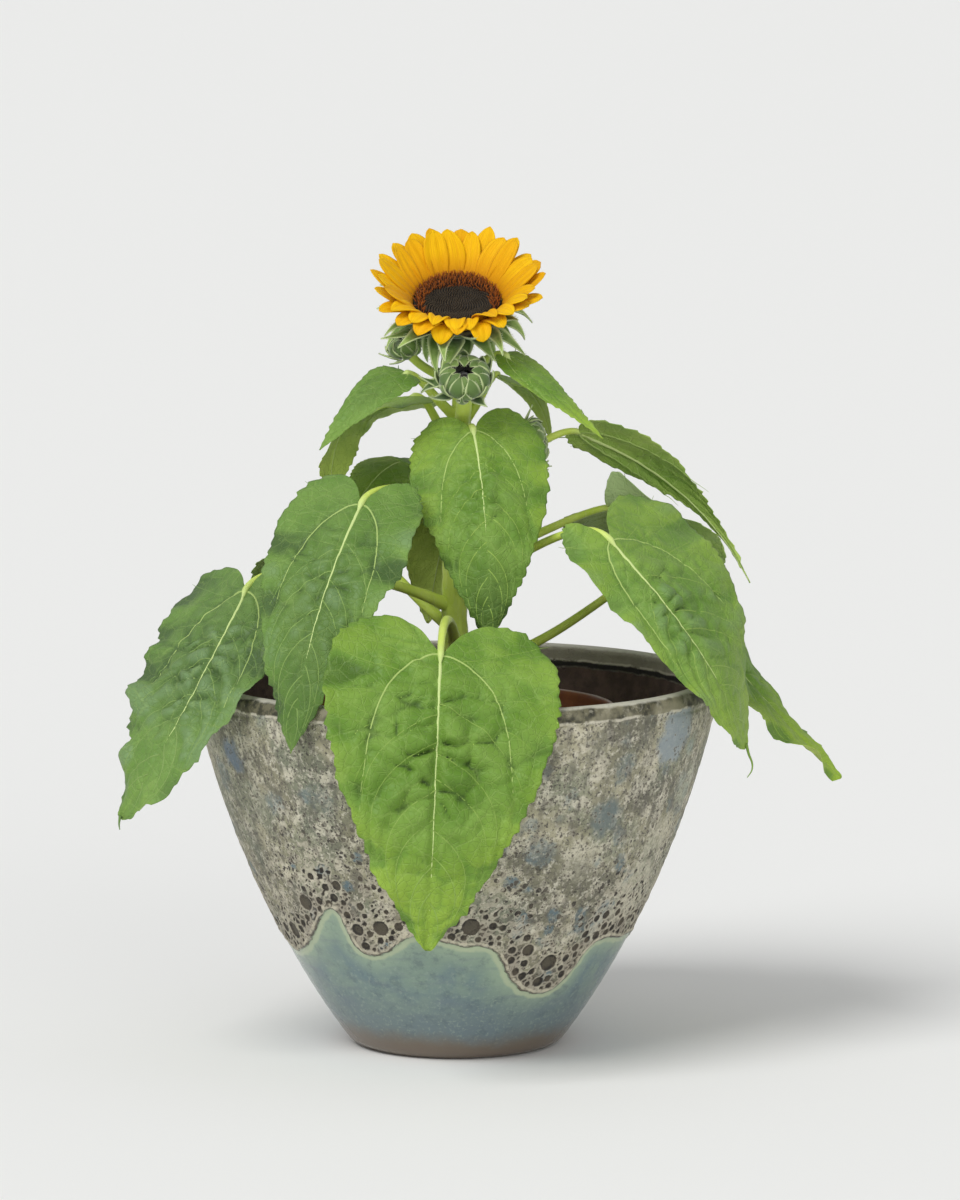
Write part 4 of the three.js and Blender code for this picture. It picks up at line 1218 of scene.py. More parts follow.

# %% [markdown]
# A leaf is matt, faintly waxy above and hairy below. Its green is fresher and more yellow near the tip and
# margin, greyer on some leaves, paler and greyer on the tops of the blisters by a painted sheen, darker in the
# creases by painted shade, and netted by pale veinlets about 4 mm apart. The mesh holds the flat leaf
# coordinates, so that this net follows the leaf however it bends.

# %% Leaf and stem finishes
def leaf_blade():
    """A leaf: greens by the leaf's own numbers, with painted shade and sheen among them, a net of veinlets, and
    a paler matt underside that is partly painted light.
    """
    made, tree, shader = finish_of("leaf_blade", 0.5, ior=1.42, Sheen_Weight=0.05, Specular_IOR_Level=0.3)
    place = add(tree, "Attribute", attribute_name="leaf_place")["Vector"]
    looks = add(tree, "Attribute", attribute_name="leaf_look")["Vector"]
    vein = add(tree, "Attribute", attribute_name="leaf_vein")["Fac"]
    under, yellow_and_shade, dull = add(tree, "SeparateXYZ", {0: looks})
    cloud = add(tree, "TexNoise", {"Vector": place, "Scale": 45, "Detail": 4})["Fac"]
    fine = add(tree, "TexNoise", {"Vector": place, "Scale": 520, "Detail": 4})["Fac"]
    nets = []
    for scale, width in ((260.0, 0.09), (90.0, 0.05)):
        cells = {"Vector": place, "Scale": scale}
        cells = add(tree, "TexVoronoi", cells, feature="DISTANCE_TO_EDGE")["Distance"]
        nets.append(share_of(tree, (cells, 0, width, 1, 0)))
    net, coarse = nets
    upper = coated(
        tree, "#5c8129",
        ("#70923a", (cloud, 0.3, 0.7)),
        ("#97b43c", (yellow_and_shade, 0, 1)),
        # painted shade: dark green where the yellow value drops below 0, in the creases and on front_upper's
        # tip, and on leaves that are darker
        ("#2f4a12", (yellow_and_shade, -1, 0, 1, 0)),
        # grey-green: the leaf's own dull tone, and on the blister tops a painted sheen
        ("#6e8a5c", (dull, 0, 1, 0, 0.8)),
        ("#a2bd6a", net, 0.1),
        ("#a2bd6a", coarse, 0.14),
    )
    # The underside's greens: paler than the upper side, and brightened as painted light for light that shines
    # through the leaf, brightest with a high yellow as on the back leaf.
    back = coated(
        tree, "#86a848",
        ("#9cba56", (cloud, 0.3, 0.7)),
        ("#bccd82", coarse, 0.35),
        ("#c2d86e", (yellow_and_shade, 0, 1)),
        ("#a8bf8c", (dull, 0, 1, 0, 0.8)),
    )
    colour = coated(tree, upper, (back, under), ("#b3c878", vein, 0.75))
    rough = {0: share_of(tree, (cloud, 0.3, 0.7, 0.42, 0.56)), 1: share_of(tree, under, 0.16)}
    rough = add(tree, "Math", rough, operation="ADD")[0]
    height = share_of(tree, fine, 0.5)
    for groove in ((net, 0.4), (coarse, 0.3)):
        height = {0: height, 1: share_of(tree, *groove)}
        height = add(tree, "Math", height, operation="SUBTRACT")[0]
    dressed(tree, shader, colour, rough, height, 0.0005)
    return made


def green_stem():
    """A hairy stem: yellow-green with pale fibres, and palest where a tone number is held."""
    made, tree, shader = finish_of("green_stem", 0.5, ior=1.42, Sheen_Weight=0.05, Specular_IOR_Level=0.3)
    place = add(tree, "TexCoord")["Object"]
    tone = add(tree, "Attribute", attribute_name="stem_tone")["Fac"]
    cloud = add(tree, "TexNoise", {"Vector": place, "Scale": 80, "Detail": 3})["Fac"]
    long = add(tree, "Mapping", {"Vector": place, "Scale": (1, 1, 0.12)})[0]
    fibre = add(tree, "TexNoise", {"Vector": long, "Scale": 900, "Detail": 3})["Fac"]
    colour = coated(
        tree, "#bcd24e",
        ("#cfe06a", (cloud, 0.3, 0.7)),
        ("#c6d582", (fibre, 0.5, 0.75, 0, 0.5)),
        ("#c3d48c", tone),
    )
    dressed(tree, shader, colour, None, fibre, 0.00025)
    return made


def plant_hair():
    """Stiff white hairs: translucent in life, so nearly white with a green cast."""
    made, tree, shader = finish_of("plant_hair", 0.45, ior=1.5)
    place = add(tree, "TexCoord")["Object"]
    cloud = add(tree, "TexNoise", {"Vector": place, "Scale": 120})["Fac"]
    dressed(tree, shader, coated(tree, "#c3cf9d", ("#e0e6cb", cloud)))
    return made


leaf_finish = leaf_blade()
stem_finish = green_stem()
hair_finish = plant_hair()
print("three finishes for the green parts")

# %% [markdown]
# A blade is one closed sheet, thinnest at its edge, with its veins laid into it as thin limbs. The finish needs
# to know more than a place in space: the flat leaf coordinates, which side is up, how yellow the green is there
# with painted shade in the creases, how dull it is with a painted sheen on the blisters, and how pale a vein
# is. These numbers are worked out here and held at the mesh's points.

# %% Blades
# A dried, thread-like tip hangs from some leaves: steps in millimetres from the leaf's own tip.
TIP_THREADS = {
    "right_front": [(0, 0, 3), (1.5, 0, -3), (3.4, -0.5, -8), (3.2, -1.5, -12), (0.6, -2, -16)],
    "left": [(0, 0, 2), (-0.6, -0.6, -3), (-0.2, -1, -6)],
}
THREAD_RINGS = 16


def upper_look(leaf, x, y, out):
    """At each point of the upper side: 0 for upper, how yellow and how dull. The green is darker at the middle,
    yellower to the margin and tip, darker in the creases by painted shade, and paler and duller on the blisters
    by a painted sheen."""
    share = x / midrib(leaf)[3]
    relief = relief_of(leaf, share, y / np.where(y > 0, *leaf.halves))
    # painted shade: the creases between blisters are darkened, as shade falls in them
    crease_shade = smooth_step(-relief, -0.6, 2.2) * smooth_step(np.abs(y), 1, 5)
    middle = np.exp(-(((share - 0.42) / 0.3) ** 2)) * (1 - out**2)
    # A tip below 0 darkens the green towards the tip: on front_upper this is painted shade where the tip bends
    # away.
    yellow_and_shade = leaf.look.yellow + leaf.look.tip * smooth_step(share, 0.4, 0.9)
    yellow_and_shade = yellow_and_shade + 0.1 * out**3 - 0.4 * middle - 0.8 * crease_shade
    # painted sheen: the blister tops are paler and greyer, as light on their hairs would make them; the rest is
    # the leaf's own dull tone
    dull_and_sheen = np.clip(leaf.look.dull * (0.8 + 1.2 * smooth_step(relief, 0.5, 3.0)), 0, 1)
    return np.stack([0 * x, np.clip(yellow_and_shade, -1, 1), dull_and_sheen], -1).reshape(-1, 3)


for name, leaf in LEAVES.items():
    sheet, x, y, out = leaf_sheet(leaf)
    veins, paleness = vein_limbs(leaf)
    shapes = [thickened(sheet, BLADE_THICKNESS * (1 - 0.55 * out**6)), veins]
    if name in TIP_THREADS:
        thread = through(np.array(leaf.tip, float) + TIP_THREADS[name], THREAD_RINGS)
        shapes.append(tube(thread, (0, 1, 0), np.linspace(0.9, 0.25, THREAD_RINGS), 6))
    place = np.stack([x * MM, y * MM, np.full(x.shape, 0.31 * leaf.seed)], -1).reshape(-1, 3)
    upper = upper_look(leaf, x, y, out)
    extra = sum(len(points) for points, _ in shapes[1:])
    extra_look = np.tile([0, leaf.look.yellow, leaf.look.dull], (extra, 1))
    values = {
        "leaf_place": np.concatenate([place, place, np.full((extra, 3), 0.1)]),
        "leaf_look": np.concatenate([upper, upper + [1, 0, 0], extra_look]),
        "leaf_vein": np.concatenate([np.zeros(2 * len(place)), paleness, np.zeros(extra - len(paleness))]),
    }
    make_piece("leaf_" + name + "_blade", joined(shapes), leaf_finish, ["leaf_" + name], values)

# %% [markdown]
# A leaf stalk arches out from the stem and runs on in the blade as the midrib, so both are one tapering limb,
# with a shallow channel along the stalk's upper side.

# %% Stalks and midribs
STALK_SIDES = 16
STALK_RINGS = 40
MIDRIB_RINGS = 69
CHANNEL_DEPTH = 0.2
# Radii in mm, by the share of the stalk's length, and for a full-grown midrib by the share of its own.
STALK_RADII = [0, 0.08, 0.2, 1], [5.0, 4.0, 3.2, 0.85 * PETIOLE_TIP_RADIUS]
MIDRIB_RADII = [0, 0.05, 0.2, 0.6, 1], [0, 1.15, 0.85, 0.6, 0.25]


def stalk_path(start_height, end, arrival, rise, count):
    """The stalk's middle line: a cubic curve that leaves the stem outwards and arrives along the midrib."""
    start = stem_at(start_height)
    out = end - start
    handle = np.linalg.norm(out) * STALK_HANDLE
    level = np.array([out[0], out[1], 0])
    leave = start + unit(level) * handle + [0, 0, rise]
    return cubic([start, leave, end - arrival * ARRIVAL_SHARE * handle, end], np.linspace(0, 1, count))


def stalk_and_midrib(leaf):
    """The stalk and midrib of a leaf as one limb, and the tone held at its points: paler in the midrib."""
    size = midrib(leaf)[3] / FULL_GROWN
    base = np.array(leaf.base, float)
    arrival = unit(on_blade(leaf, np.array([0.02]), np.zeros(1)) - base)[0]
    stalk = stalk_path(leaf.node, base, arrival, leaf.rise, STALK_RINGS)
    run = np.linspace(0, 0.985, MIDRIB_RINGS + 1)[1:]
    lift = relief_of(leaf, run, 0 * run) * smooth_step(run, 0, 0.06)
    rib = on_blade(leaf, run, 0 * run, lift - 0.25)
    path = np.concatenate([stalk, rib])
    level = np.cross([0, 0, 1], base - stem_at(leaf.node))
    share = np.linspace(0, 1, len(path))
    frame_side = unit(np.cross(unit(np.gradient(path, axis=0)), np.array(leaf.face, float)))
    frame_side = frame_side * np.sign(frame_side[60] @ level)
    weight = smooth_step(share, 0.15, 0.4)[:, None]
    across = unit(unit(level) * (1 - weight) + frame_side * weight)
    stalk_radius = np.interp(np.linspace(0, 1, STALK_RINGS), *STALK_RADII)
    rib_radius = size * np.interp(run, *MIDRIB_RADII)
    rib_radius = np.maximum(rib_radius, 0.85 * PETIOLE_TIP_RADIUS * (1 - run / 0.05))
    radius = np.concatenate([stalk_radius, rib_radius])
    turn = round_turn(STALK_SIDES)
    channel = np.exp(-((np.cos(turn)[None, :] - 1) / 0.35) ** 2) * (share < 0.37)[:, None]
    shape = tube(path, across, radius[:, None] * (1 - CHANNEL_DEPTH * channel), STALK_SIDES)
    return shape, np.append(np.repeat(smooth_step(share, 0.3, 0.4), STALK_SIDES), [0, 1])


for name, leaf in LEAVES.items():
    shape, tone = stalk_and_midrib(leaf)
    values = {"stem_tone": tone}
    make_piece("petiole_" + name + "_midrib", shape, stem_finish, ["petiole_" + name], values)

# %% [markdown]
# A sunflower's stem is ribbed by the strands that run up it, and it swells at each leaf's foot. A tube whose
# radius changes round its ring shows both in its outline, as a bump in the shader would not.

# %% The ribbed stem
STEM_SIDES = 44
RIB_DEPTH = 0.035
NODE_SWELLING = 0.1
NODE_REACH = 5

stem_turn = round_turn(STEM_SIDES)
swelling = sum(np.exp(-(((stem_path[:, 2] - leaf.node) / NODE_REACH) ** 2)) for leaf in LEAVES.values())
stem_radii = np.interp(np.linspace(0, 1, STEM_RINGS), [0, 1], [STEM_FOOT_RADIUS, STEM_TOP_RADIUS])
stem_radii = stem_radii * (1 + NODE_SWELLING * np.minimum(swelling, 1))
stem_radii = stem_radii[:, None] * (1 + RIB_DEPTH * np.cos(STEM_RIBS * stem_turn)[None, :])
stem_shape = tube(stem_path, np.array([1.0, 0, 0]), stem_radii, STEM_SIDES)
stem_tone = np.full(len(stem_shape[0]), 0.05)
make_piece("main_stem_ribbed", stem_shape, stem_finish, ["main_stem"], {"stem_tone": stem_tone})

# %% [markdown]
# The flower head looks up and forward. Its parts are made about their own upright axis and then set at the
# head's centre. A petal is a strap that leaves the rim of the disc at one angle and bends evenly to another.
# Those at the front are shorter, stand up and curl over, as the photograph shows, and the back ones fan out.

# %% Petals
HEAD_CENTRE = np.array([1.0, -12.0, 428.0])
HEAD_TILT = math.radians(30)
tilt_cos, tilt_sin = math.cos(HEAD_TILT), math.sin(HEAD_TILT)
HEAD_AXES = np.array([[1, 0, 0], [0, tilt_cos, tilt_sin], [0, -tilt_sin, tilt_cos]])
RAY_COUNT = 21
INNER_RAYS = 21
RAY = {"length": 31, "width": 14.5, "root": 42, "tip": 34}
FRONT_RAY = {"length": 22, "width": 14.5, "root": 95, "tip": -60}
PETAL_ROWS = 24
PETAL_COLUMNS = 13


def set_at(shape, centre=HEAD_CENTRE, axes=HEAD_AXES):
    """A shape made about its own axes, moved to its place on the plant."""
    points, faces = shape
    return centre + points @ axes, faces


def strap(start, length, outline, root, tip, columns, cup=0.0, pleat=0.0, sweep=0.0):
    """A petal or bract along +X. Its middle line is an arc of even bend from the root's angle to the tip's,
    outline holds its half width at each row, and it is cupped, pleated and swept to one side."""
    s = np.linspace(0, 1, len(outline))[:, None]
    t = np.linspace(-1, 1, columns)[None, :]
    begin, turn = math.radians(root), math.radians(tip - root)
    angle = begin + turn * s
    out = length * (np.sin(angle) - math.sin(begin)) / turn
    up = length * (math.cos(begin) - np.cos(angle)) / turn
    half = np.reshape(outline, (-1, 1))
    lift = cup * half * (t**2 - 0.3) + pleat * np.cos(2.5 * np.pi * t) * np.sin(np.pi * np.clip(s, 0.05, 0.95))
    side = half * t + sweep * length * s**2
    return np.stack([start[0] + out - lift * np.sin(angle), side, start[1] + up + lift * np.cos(angle)], -1)


def turned_by(sheet, bearing):
    """The sheet turned about the upright axis by a bearing in radians."""
    c, s = math.cos(bearing), math.sin(bearing)
    return sheet @ np.array([[c, s, 0], [-s, c, 0], [0, 0, 1]])


def petal_body(bearing, rng, inner):
    """One petal: the solid's strap at that bearing, with its own length, width, bend, cup and pleats."""
    front = max(0.0, -math.sin(bearing)) ** 1.5
    size = {key: RAY[key] + (FRONT_RAY[key] - RAY[key]) * front for key in RAY}
    s = np.linspace(0, 1, PETAL_ROWS)
    claw = 0.7 + 0.3 * smooth_step(s, 0, 0.45)
    blunt = (1 - np.clip((s - 0.35) / 0.65, 0, 1) ** rng.uniform(2.4, 4.2)) ** rng.uniform(0.48, 0.76)
    outline = size["width"] / 2 * rng.uniform(0.8, 1.1) * claw * blunt + 0.1
    length = size["length"] * rng.uniform(0.92, 1.05) * (0.93 if inner else 1)
    root = size["root"] + (6 if inner else rng.uniform(-4, 3))
    tip = size["tip"] + (6 if inner else 0) + rng.uniform(-12, 12) * (1 + 2 * front)
    start = (25.2, 0) if inner else (25.7, -2)
    bend = {"cup": rng.uniform(-0.05, 0.16), "pleat": rng.uniform(0.3, 0.5), "sweep": rng.uniform(-0.14, 0.14)}
    sheet = strap(start, length, outline, root, tip, PETAL_COLUMNS, **bend)
    return thickened(turned_by(sheet, bearing), 0.45)


rng = np.random.default_rng(51)
petals = []
for count, inner in ((RAY_COUNT, False), (INNER_RAYS, True)):
    for i in range(count):
        petals.append(petal_body(2 * math.pi * (i + 0.5 * inner + rng.uniform(-0.1, 0.1)) / count, rng, inner))
grid_s, grid_t = np.meshgrid(np.linspace(0, 1, PETAL_ROWS), np.linspace(-1, 1, PETAL_COLUMNS), indexing="ij")
petal_place = np.tile(np.stack([grid_s.ravel(), grid_t.ravel(), 0 * grid_s.ravel()], 1), (2 * len(petals), 1))
petal_place[:, 2] = np.repeat(rng.random(len(petals)), len(petals[0][0]))

# %% [markdown]
# A petal is silky: a velvet-like sheen over a strong yellow that deepens to orange at its root, with fine
# streaks along its length. The streaks follow the petal's own coordinates, held at the points of its mesh.

# %% Petal finish
def petal_silk():
    """A ray floret: golden yellow, deeper at the root, streaked along its length, with a soft sheen."""
    made, tree, shader = finish_of("petal_silk", 0.55, ior=1.4, Sheen_Weight=0.04, Specular_IOR_Level=0.18)
    place = add(tree, "Attribute", attribute_name="petal_place")["Vector"]
    along, _, dealt = add(tree, "SeparateXYZ", {0: place})
    long = add(tree, "Mapping", {"Vector": place, "Scale": (1.2, 9, 40)})[0]
    streak = add(tree, "TexNoise", {"Vector": long, "Scale": 1.6, "Detail": 4})["Fac"]
    colour = coated(
        tree, "#cb8600",
        ("#ecb900", (along, 0, 0.65)),
        ("#f3c90e", (along, 0.7, 1, 0, 0.6)),
        ("#d99a00", (streak, 0.42, 0.62, 0, 0.6)),
        ("#dc9600", (dealt, 0.5, 1, 0, 0.45)),
    )
    dressed(tree, shader, colour, None, streak, 0.00035)
    return made


petal_values = {"petal_place": petal_place}
make_piece("flower_petals", set_at(joined(petals)), petal_silk(), ["flower_rays"], petal_values)

# %% [markdown]
# The disc is packed with small florets on a golden-angle spiral: each next one is turned by about 137.5
# degrees and set further out by the square root of its number. In the middle they are dark closed buds, and in
# the outer ring rust-brown tubes with forked tips. All are copies of one small turned shape, made in one step.

# %% Disc florets
GOLDEN_ANGLE = math.pi * (3 - math.sqrt(5))
FLORET_COUNT = 1000
FLORET_PITCH = 0.8
SPIRAL_RADIUS = 24
FLORET_SIDES = 5
OPEN_FROM = 19.5
OPEN_SHIFT = 6.5
DISC_TOP = [(0, 1.2), (8, 1.6), (14, 0.6), (18, 2.4), (22, 3.0), (24.4, 0.8)]
CLOSED_FLORET = [(0.3, -1.8), (0.5, 0.2), (0.54, 0.9), (0.26, 1.6), (0.06, 1.8)]
OPEN_FLORET = [(0.25, -1.6), (0.32, 0.6), (0.46, 1.6), (0.3, 2.2), (0.14, 2.8), (0.05, 3.4)]
# How much of its tip's colour a floret shows at each ring of its profile, from its foot up.
CLOSED_REACH = [0, 0.1, 0.4, 0.9, 1.0]
OPEN_REACH = [0, 0.1, 0.35, 0.6, 0.9, 1.0]


def stood(profile, sides, centres, ways, sizes):
    """Copies of one small turned shape, each on its own centre, leaning its own way and of its own size."""
    template, faces = turned(np.array([profile[0], *profile, profile[-1]], float), sides)
    helper = unit(np.cross(ways, [0.3, 0.9, 0.1]))
    axes = np.stack([helper, np.cross(ways, helper), ways], 1)
    points = centres[:, None] + np.einsum("pk,nkj->npj", template, axes) * sizes[:, None, None]
    step = np.arange(len(centres))[:, None, None] * len(template)
    return points.reshape(-1, 3), [(step + face).reshape(-1, face.shape[1]) for face in faces]


def reach_at_points(rings, count):
    """The reach held at each point of count florets: at their rings, then at the poles of foot and tip."""
    return np.tile(np.append(np.repeat(rings, FLORET_SIDES), [0, 1]), count)


def disc_floret(name, dark, pale, tip):
    """A dry, fuzzy floret: matt, darker at its foot and paler at its tip, each patch a little different."""
    made, tree, shader = finish_of(name, 0.85, ior=1.4, Sheen_Weight=0.1, Specular_IOR_Level=0.25)
    place = add(tree, "TexCoord")["Object"]
    reach = add(tree, "Attribute", attribute_name="floret_reach")["Fac"]
    cloud = add(tree, "TexNoise", {"Vector": place, "Scale": 700, "Detail": 2})["Fac"]
    dressed(tree, shader, coated(tree, dark, (pale, (cloud, 0.35, 0.65)), (tip, reach)))
    return made


number = np.arange(1, FLORET_COUNT)
number = number[FLORET_PITCH * np.sqrt(number) < SPIRAL_RADIUS]
floret_radius, floret_turn = FLORET_PITCH * np.sqrt(number), number * GOLDEN_ANGLE
floret_top = np.interp(floret_radius, *np.array(DISC_TOP).T)
lean = np.stack([np.cos(floret_turn), np.sin(floret_turn), 0 * floret_turn], 1)
centres = np.stack([floret_radius * lean[:, 0], floret_radius * lean[:, 1], floret_top], 1)
from_heart = np.hypot(centres[:, 0], centres[:, 1] + OPEN_SHIFT)
opened = from_heart > OPEN_FROM
open_count, closed_count = opened.sum(), (~opened).sum()
print(closed_count, "closed florets and", open_count, "open ones")

# %% [markdown]
# The closed florets lean inwards and stand on a solid core, so that no gap shows between them. The open ones
# splay out, more so towards the rim, and each carries two short forked hairs at its tip.

# %% The disc's two pieces
rng = np.random.default_rng(61)
UPRIGHT = np.array([0, 0, 1])
CORE_SIDES = 48
CORE_DROP = 0.9

closed_ways = unit(UPRIGHT - 0.18 * lean[~opened])
closed_sizes = rng.uniform(0.9, 1.15, closed_count)
closed_shape = stood(CLOSED_FLORET, FLORET_SIDES, centres[~opened], closed_ways, closed_sizes)
core_profile = np.array([(0, -4), (12, -4), (24.6, -4), (24.8, -1), *DISC_TOP[::-1]], float)
core_profile[4:, 1] -= CORE_DROP
disc_core = turned(core_profile, CORE_SIDES)
closed_reach = np.concatenate([np.zeros(len(disc_core[0])), reach_at_points(CLOSED_REACH, closed_count)])
closed_finish = disc_floret("closed_floret", "#1a130d", "#2b2319", "#4a4031")
closed_shape = set_at(joined([disc_core, closed_shape]))
closed_values = {"floret_reach": closed_reach}
make_piece("disc_closed_florets", closed_shape, closed_finish, ["flower_disc"], closed_values)

splay = 0.4 * smooth_step(from_heart[opened], OPEN_FROM, SPIRAL_RADIUS)[:, None] - 0.15
open_ways = unit(UPRIGHT + lean[opened] * splay + rng.normal(0, 0.28, (open_count, 3)))
open_sizes = rng.uniform(0.75, 1.2, open_count)
open_shape = stood(OPEN_FLORET, FLORET_SIDES, centres[opened], open_ways, open_sizes)
fork_roots = np.repeat(centres[opened] + open_ways * 2.6, 2, 0)
fork_side = unit(np.cross(open_ways, [0.2, 0.4, 0.9])) * 0.75
fork_ways = unit(np.repeat(open_ways, 2, 0) + np.stack([fork_side, -fork_side], 1).reshape(-1, 3))
fork_shape = spikes(fork_roots, fork_ways, rng.uniform(1.0, 2.2, len(fork_roots)), 0.13)
open_reach = np.concatenate([reach_at_points(OPEN_REACH, open_count), np.ones(len(fork_shape[0]))])
open_finish = disc_floret("open_floret", "#3c1d0a", "#65320d", "#ad5f10")
open_shape = set_at(joined([open_shape, fork_shape]))
make_piece("disc_open_florets", open_shape, open_finish, (), {"floret_reach": open_reach})

# %% [markdown]
# Under the petals sits a cup of green bracts, in rows that overlap like roof tiles. Each is a broad scale with
# a long drawn-out tip, edged with white hairs. A bract is the same bent strap as a petal, with another outline,
# and dealt angles make the ruff as untidy as a real one.

# %% Bracts
RECEPTACLE = [
    (0, -16.3), (3, -16.3), (6, -16.1), (11, -15), (16, -13.3), (21, -10.8), (25, -8.3), (26.6, -6), (27, -4.4),
    (0, -4.3),
]
RECEPTACLE_SIDES = 60
HEAD_BRACTS = 14
BRACT_WIDTH = 12
# The rows of bracts, from below up: where they start, their length, and their angles at root and tip.
BRACT_ROWS = [((18, -12.5), 21, -20, -85), ((21.5, -10), 26, 5, -45), ((24, -7.5), 25, 28, 0)]
BRACT_RINGS = 20
BRACT_COLUMNS = 9


def bract_outline(width, fullness):
    """Half widths of a bract: broad near its base with a thin tip, or when full a rounded scale."""
    s = np.linspace(0, 1, BRACT_RINGS)
    drawn = np.interp(s, [0, 0.22, 0.4, 0.6, 0.8, 1], [0.8, 1, 0.72, 0.34, 0.14, 0.03])
    scale = np.interp(s, [0, 0.3, 0.55, 0.75, 0.92, 1], [0.75, 1, 0.95, 0.68, 0.25, 0.04])
    return width / 2 * (drawn + (scale - drawn) * fullness)


def bract_place(rng, deeper=0.0):
    """Numbers held at a bract's points: share of its length, of its half width, and a dealt one."""
    s, t = np.meshgrid(np.linspace(0, 1, BRACT_RINGS), np.linspace(-1, 1, BRACT_COLUMNS), indexing="ij")
    t = np.abs(t)
    return np.tile(np.stack([s.ravel(), t.ravel(), np.full(s.size, rng.random() + deeper)], 1), (2, 1))


def edge_hairs(sheet, rng, count, length):
    """Hairs along both edges of a bract, pointing out and towards the tip."""
    rows = rng.integers(1, len(sheet) - 1, count)
    side = rng.integers(0, 2, count)
    columns = np.where(side == 1, sheet.shape[1] - 1, 0)
    edge = sheet[rows, columns]
    inner = sheet[rows, np.where(side == 1, sheet.shape[1] - 2, 1)]
    forward = sheet[np.minimum(rows + 1, len(sheet) - 1), columns] - edge
    ways = unit(unit(edge - inner) + 0.7 * unit(forward) + rng.normal(0, 0.25, (count, 3)))
    return spikes(edge, ways, rng.uniform(0.5, 1.2, count) * length, 0.07)


def hairy_bract():
    """A bract: deep green at its middle, paler and edged with a light line, downy all over."""
    made, tree, shader = finish_of("hairy_bract", 0.62, ior=1.42, Sheen_Weight=0.35, Sheen_Roughness=0.5)
    place = add(tree, "Attribute", attribute_name="bract_place")["Vector"]
    along, across, dealt = add(tree, "SeparateXYZ", {0: place})
    spot = add(tree, "TexCoord")["Object"]
    cloud = add(tree, "TexNoise", {"Vector": spot, "Scale": 330, "Detail": 4})["Fac"]
    colour = coated(
        tree, "#668a34",
        ("#92b054", (along, 0.1, 0.9)),
        ("#a6bf72", (cloud, 0.4, 0.65, 0, 0.5)),
        ("#34501c", (along, 0.05, 0.5, 0.8, 0)),
        ("#36541f", (dealt, 0, 2, 0, 0.85)),
        ("#c3d196", (across, 0.62, 0.95, 0, 0.9)),
    )
    dressed(tree, shader, colour, None, cloud, 0.0004)
    return made


bract_finish = hairy_bract()
rng = np.random.default_rng(71)
core = turned(np.array(RECEPTACLE, float), RECEPTACLE_SIDES)
cup_shapes, cup_places, cup_hairs = [core], [np.tile([0.0, 0.2, 0.5], (len(core[0]), 1))], []
for row, (start, length, root, tip) in enumerate(BRACT_ROWS):
    for i in range(HEAD_BRACTS):
        bearing = 2 * math.pi * (i + 0.5 * (row % 2) + rng.uniform(-0.15, 0.15)) / HEAD_BRACTS
        angles = root + rng.uniform(-12, 12), tip + rng.uniform(-40, 55)
        outline = bract_outline(BRACT_WIDTH * rng.uniform(0.8, 1.15), 0.3)
        reach, sweep = length * rng.uniform(0.75, 1.05), rng.uniform(-0.35, 0.35)
        sheet = turned_by(strap(start, reach, outline, *angles, BRACT_COLUMNS, 0.5, 0.2, sweep), bearing)
        cup_shapes.append(thickened(sheet, 0.6))
        cup_places.append(bract_place(rng))
        cup_hairs.append(edge_hairs(sheet, rng, 80, 2.0))
cup_values = {"bract_place": np.concatenate(cup_places)}
cup_shape = set_at(joined(cup_shapes))
make_piece("flower_bract_cup", cup_shape, bract_finish, ["flower_involucre"], cup_values)
all_hairs = [set_at(joined(cup_hairs))]

# %% [markdown]
# A bud is the same cup still closed round the young flower. Its bracts wrap up and over, so they are laid on
# the bud's own side outline instead of being bent freely, and a ruff of loose ones stands off under them. The
# front bud has opened a dark star at its top, which is the young disc, and the others are almost shut.

# %% Buds
Bud = namedtuple("Bud", "centre axis radius stalk node leaflet opening")
BUDS = {
    "front": Bud((5, -37, 386.5), (0, -0.7, 0.7), 14, 4.5, 350, 18, 1.0),
    "right": Bud((44, -4, 347), (0.9, -0.1, 0.2), 12, 2.5, 338, 0, 0.0),
    "left": Bud((-28, -3, 402), (-0.4, -0.2, 0.8), 10, 2.5, 378, 0, 0.2),
}
BUD_RISE = 6
BUD_BRACTS = 8
BUD_DEPTH = 0.65
BUD_STALK_SIDES = 24
BUD_STALK_RINGS = 40
BUD_HEART_SIDES = 40
# Side outlines in shares of the bud's radius, from under its base up and over to the middle of its top.
BUD_OUTLINE = [
    (0.2, -0.58), (0.46, -0.5), (0.72, -0.28), (0.88, 0),
    (0.86, 0.26), (0.64, 0.46), (0.36, 0.52), (0.08, 0.46),
]
BUD_HEART = [
    (0, -0.58), (0.3, -0.58), (0.42, -0.48), (0.64, -0.26), (0.8, 0),
    (0.76, 0.2), (0.6, 0.3), (0.3, 0.22), (0, 0.18),
]
# The rows of bracts that wrap a bud, from the innermost out: the shares of the outline where they begin and
# end, their width, and how far they lie off the outline, both in shares of the bud's radius.
WRAPPED_ROWS = [(0.12, 0.94, 0.8, 0.0), (0.04, 0.86, 0.7, 0.06), (0, 0.64, 0.62, 0.13)]


def wrapped_bract(radius, bearing, begin, end, width, clear, flare):
    """A bract that lies on its bud: it climbs the side outline between two shares of it, clear of it by a share
    of the radius, bulges at its middle line and flares at its tip."""
    line = through([(out, 0, up) for out, up in BUD_OUTLINE], 80)
    s = np.linspace(0, 1, BRACT_RINGS)
    climb = begin + (end - begin) * s
    out, up = (np.interp(climb, np.linspace(0, 1, 80), line[:, k]) for k in (0, 2))
    t = np.linspace(-1, 1, BRACT_COLUMNS)[None, :]
    half = bract_outline(width, 1.0)[:, None] / radius
    turn = bearing + half * t / np.maximum(out, 0.3)[:, None]
    bulge = clear + 0.25 * half * (1 - t**2)
    away = out[:, None] * (1 + bulge) + (flare * s**3)[:, None]
    height = up[:, None] * (1 + bulge * (up[:, None] > 0)) + (0.3 * flare * s**3)[:, None]
    return radius * np.stack([away * np.cos(turn), away * np.sin(turn), height], -1)


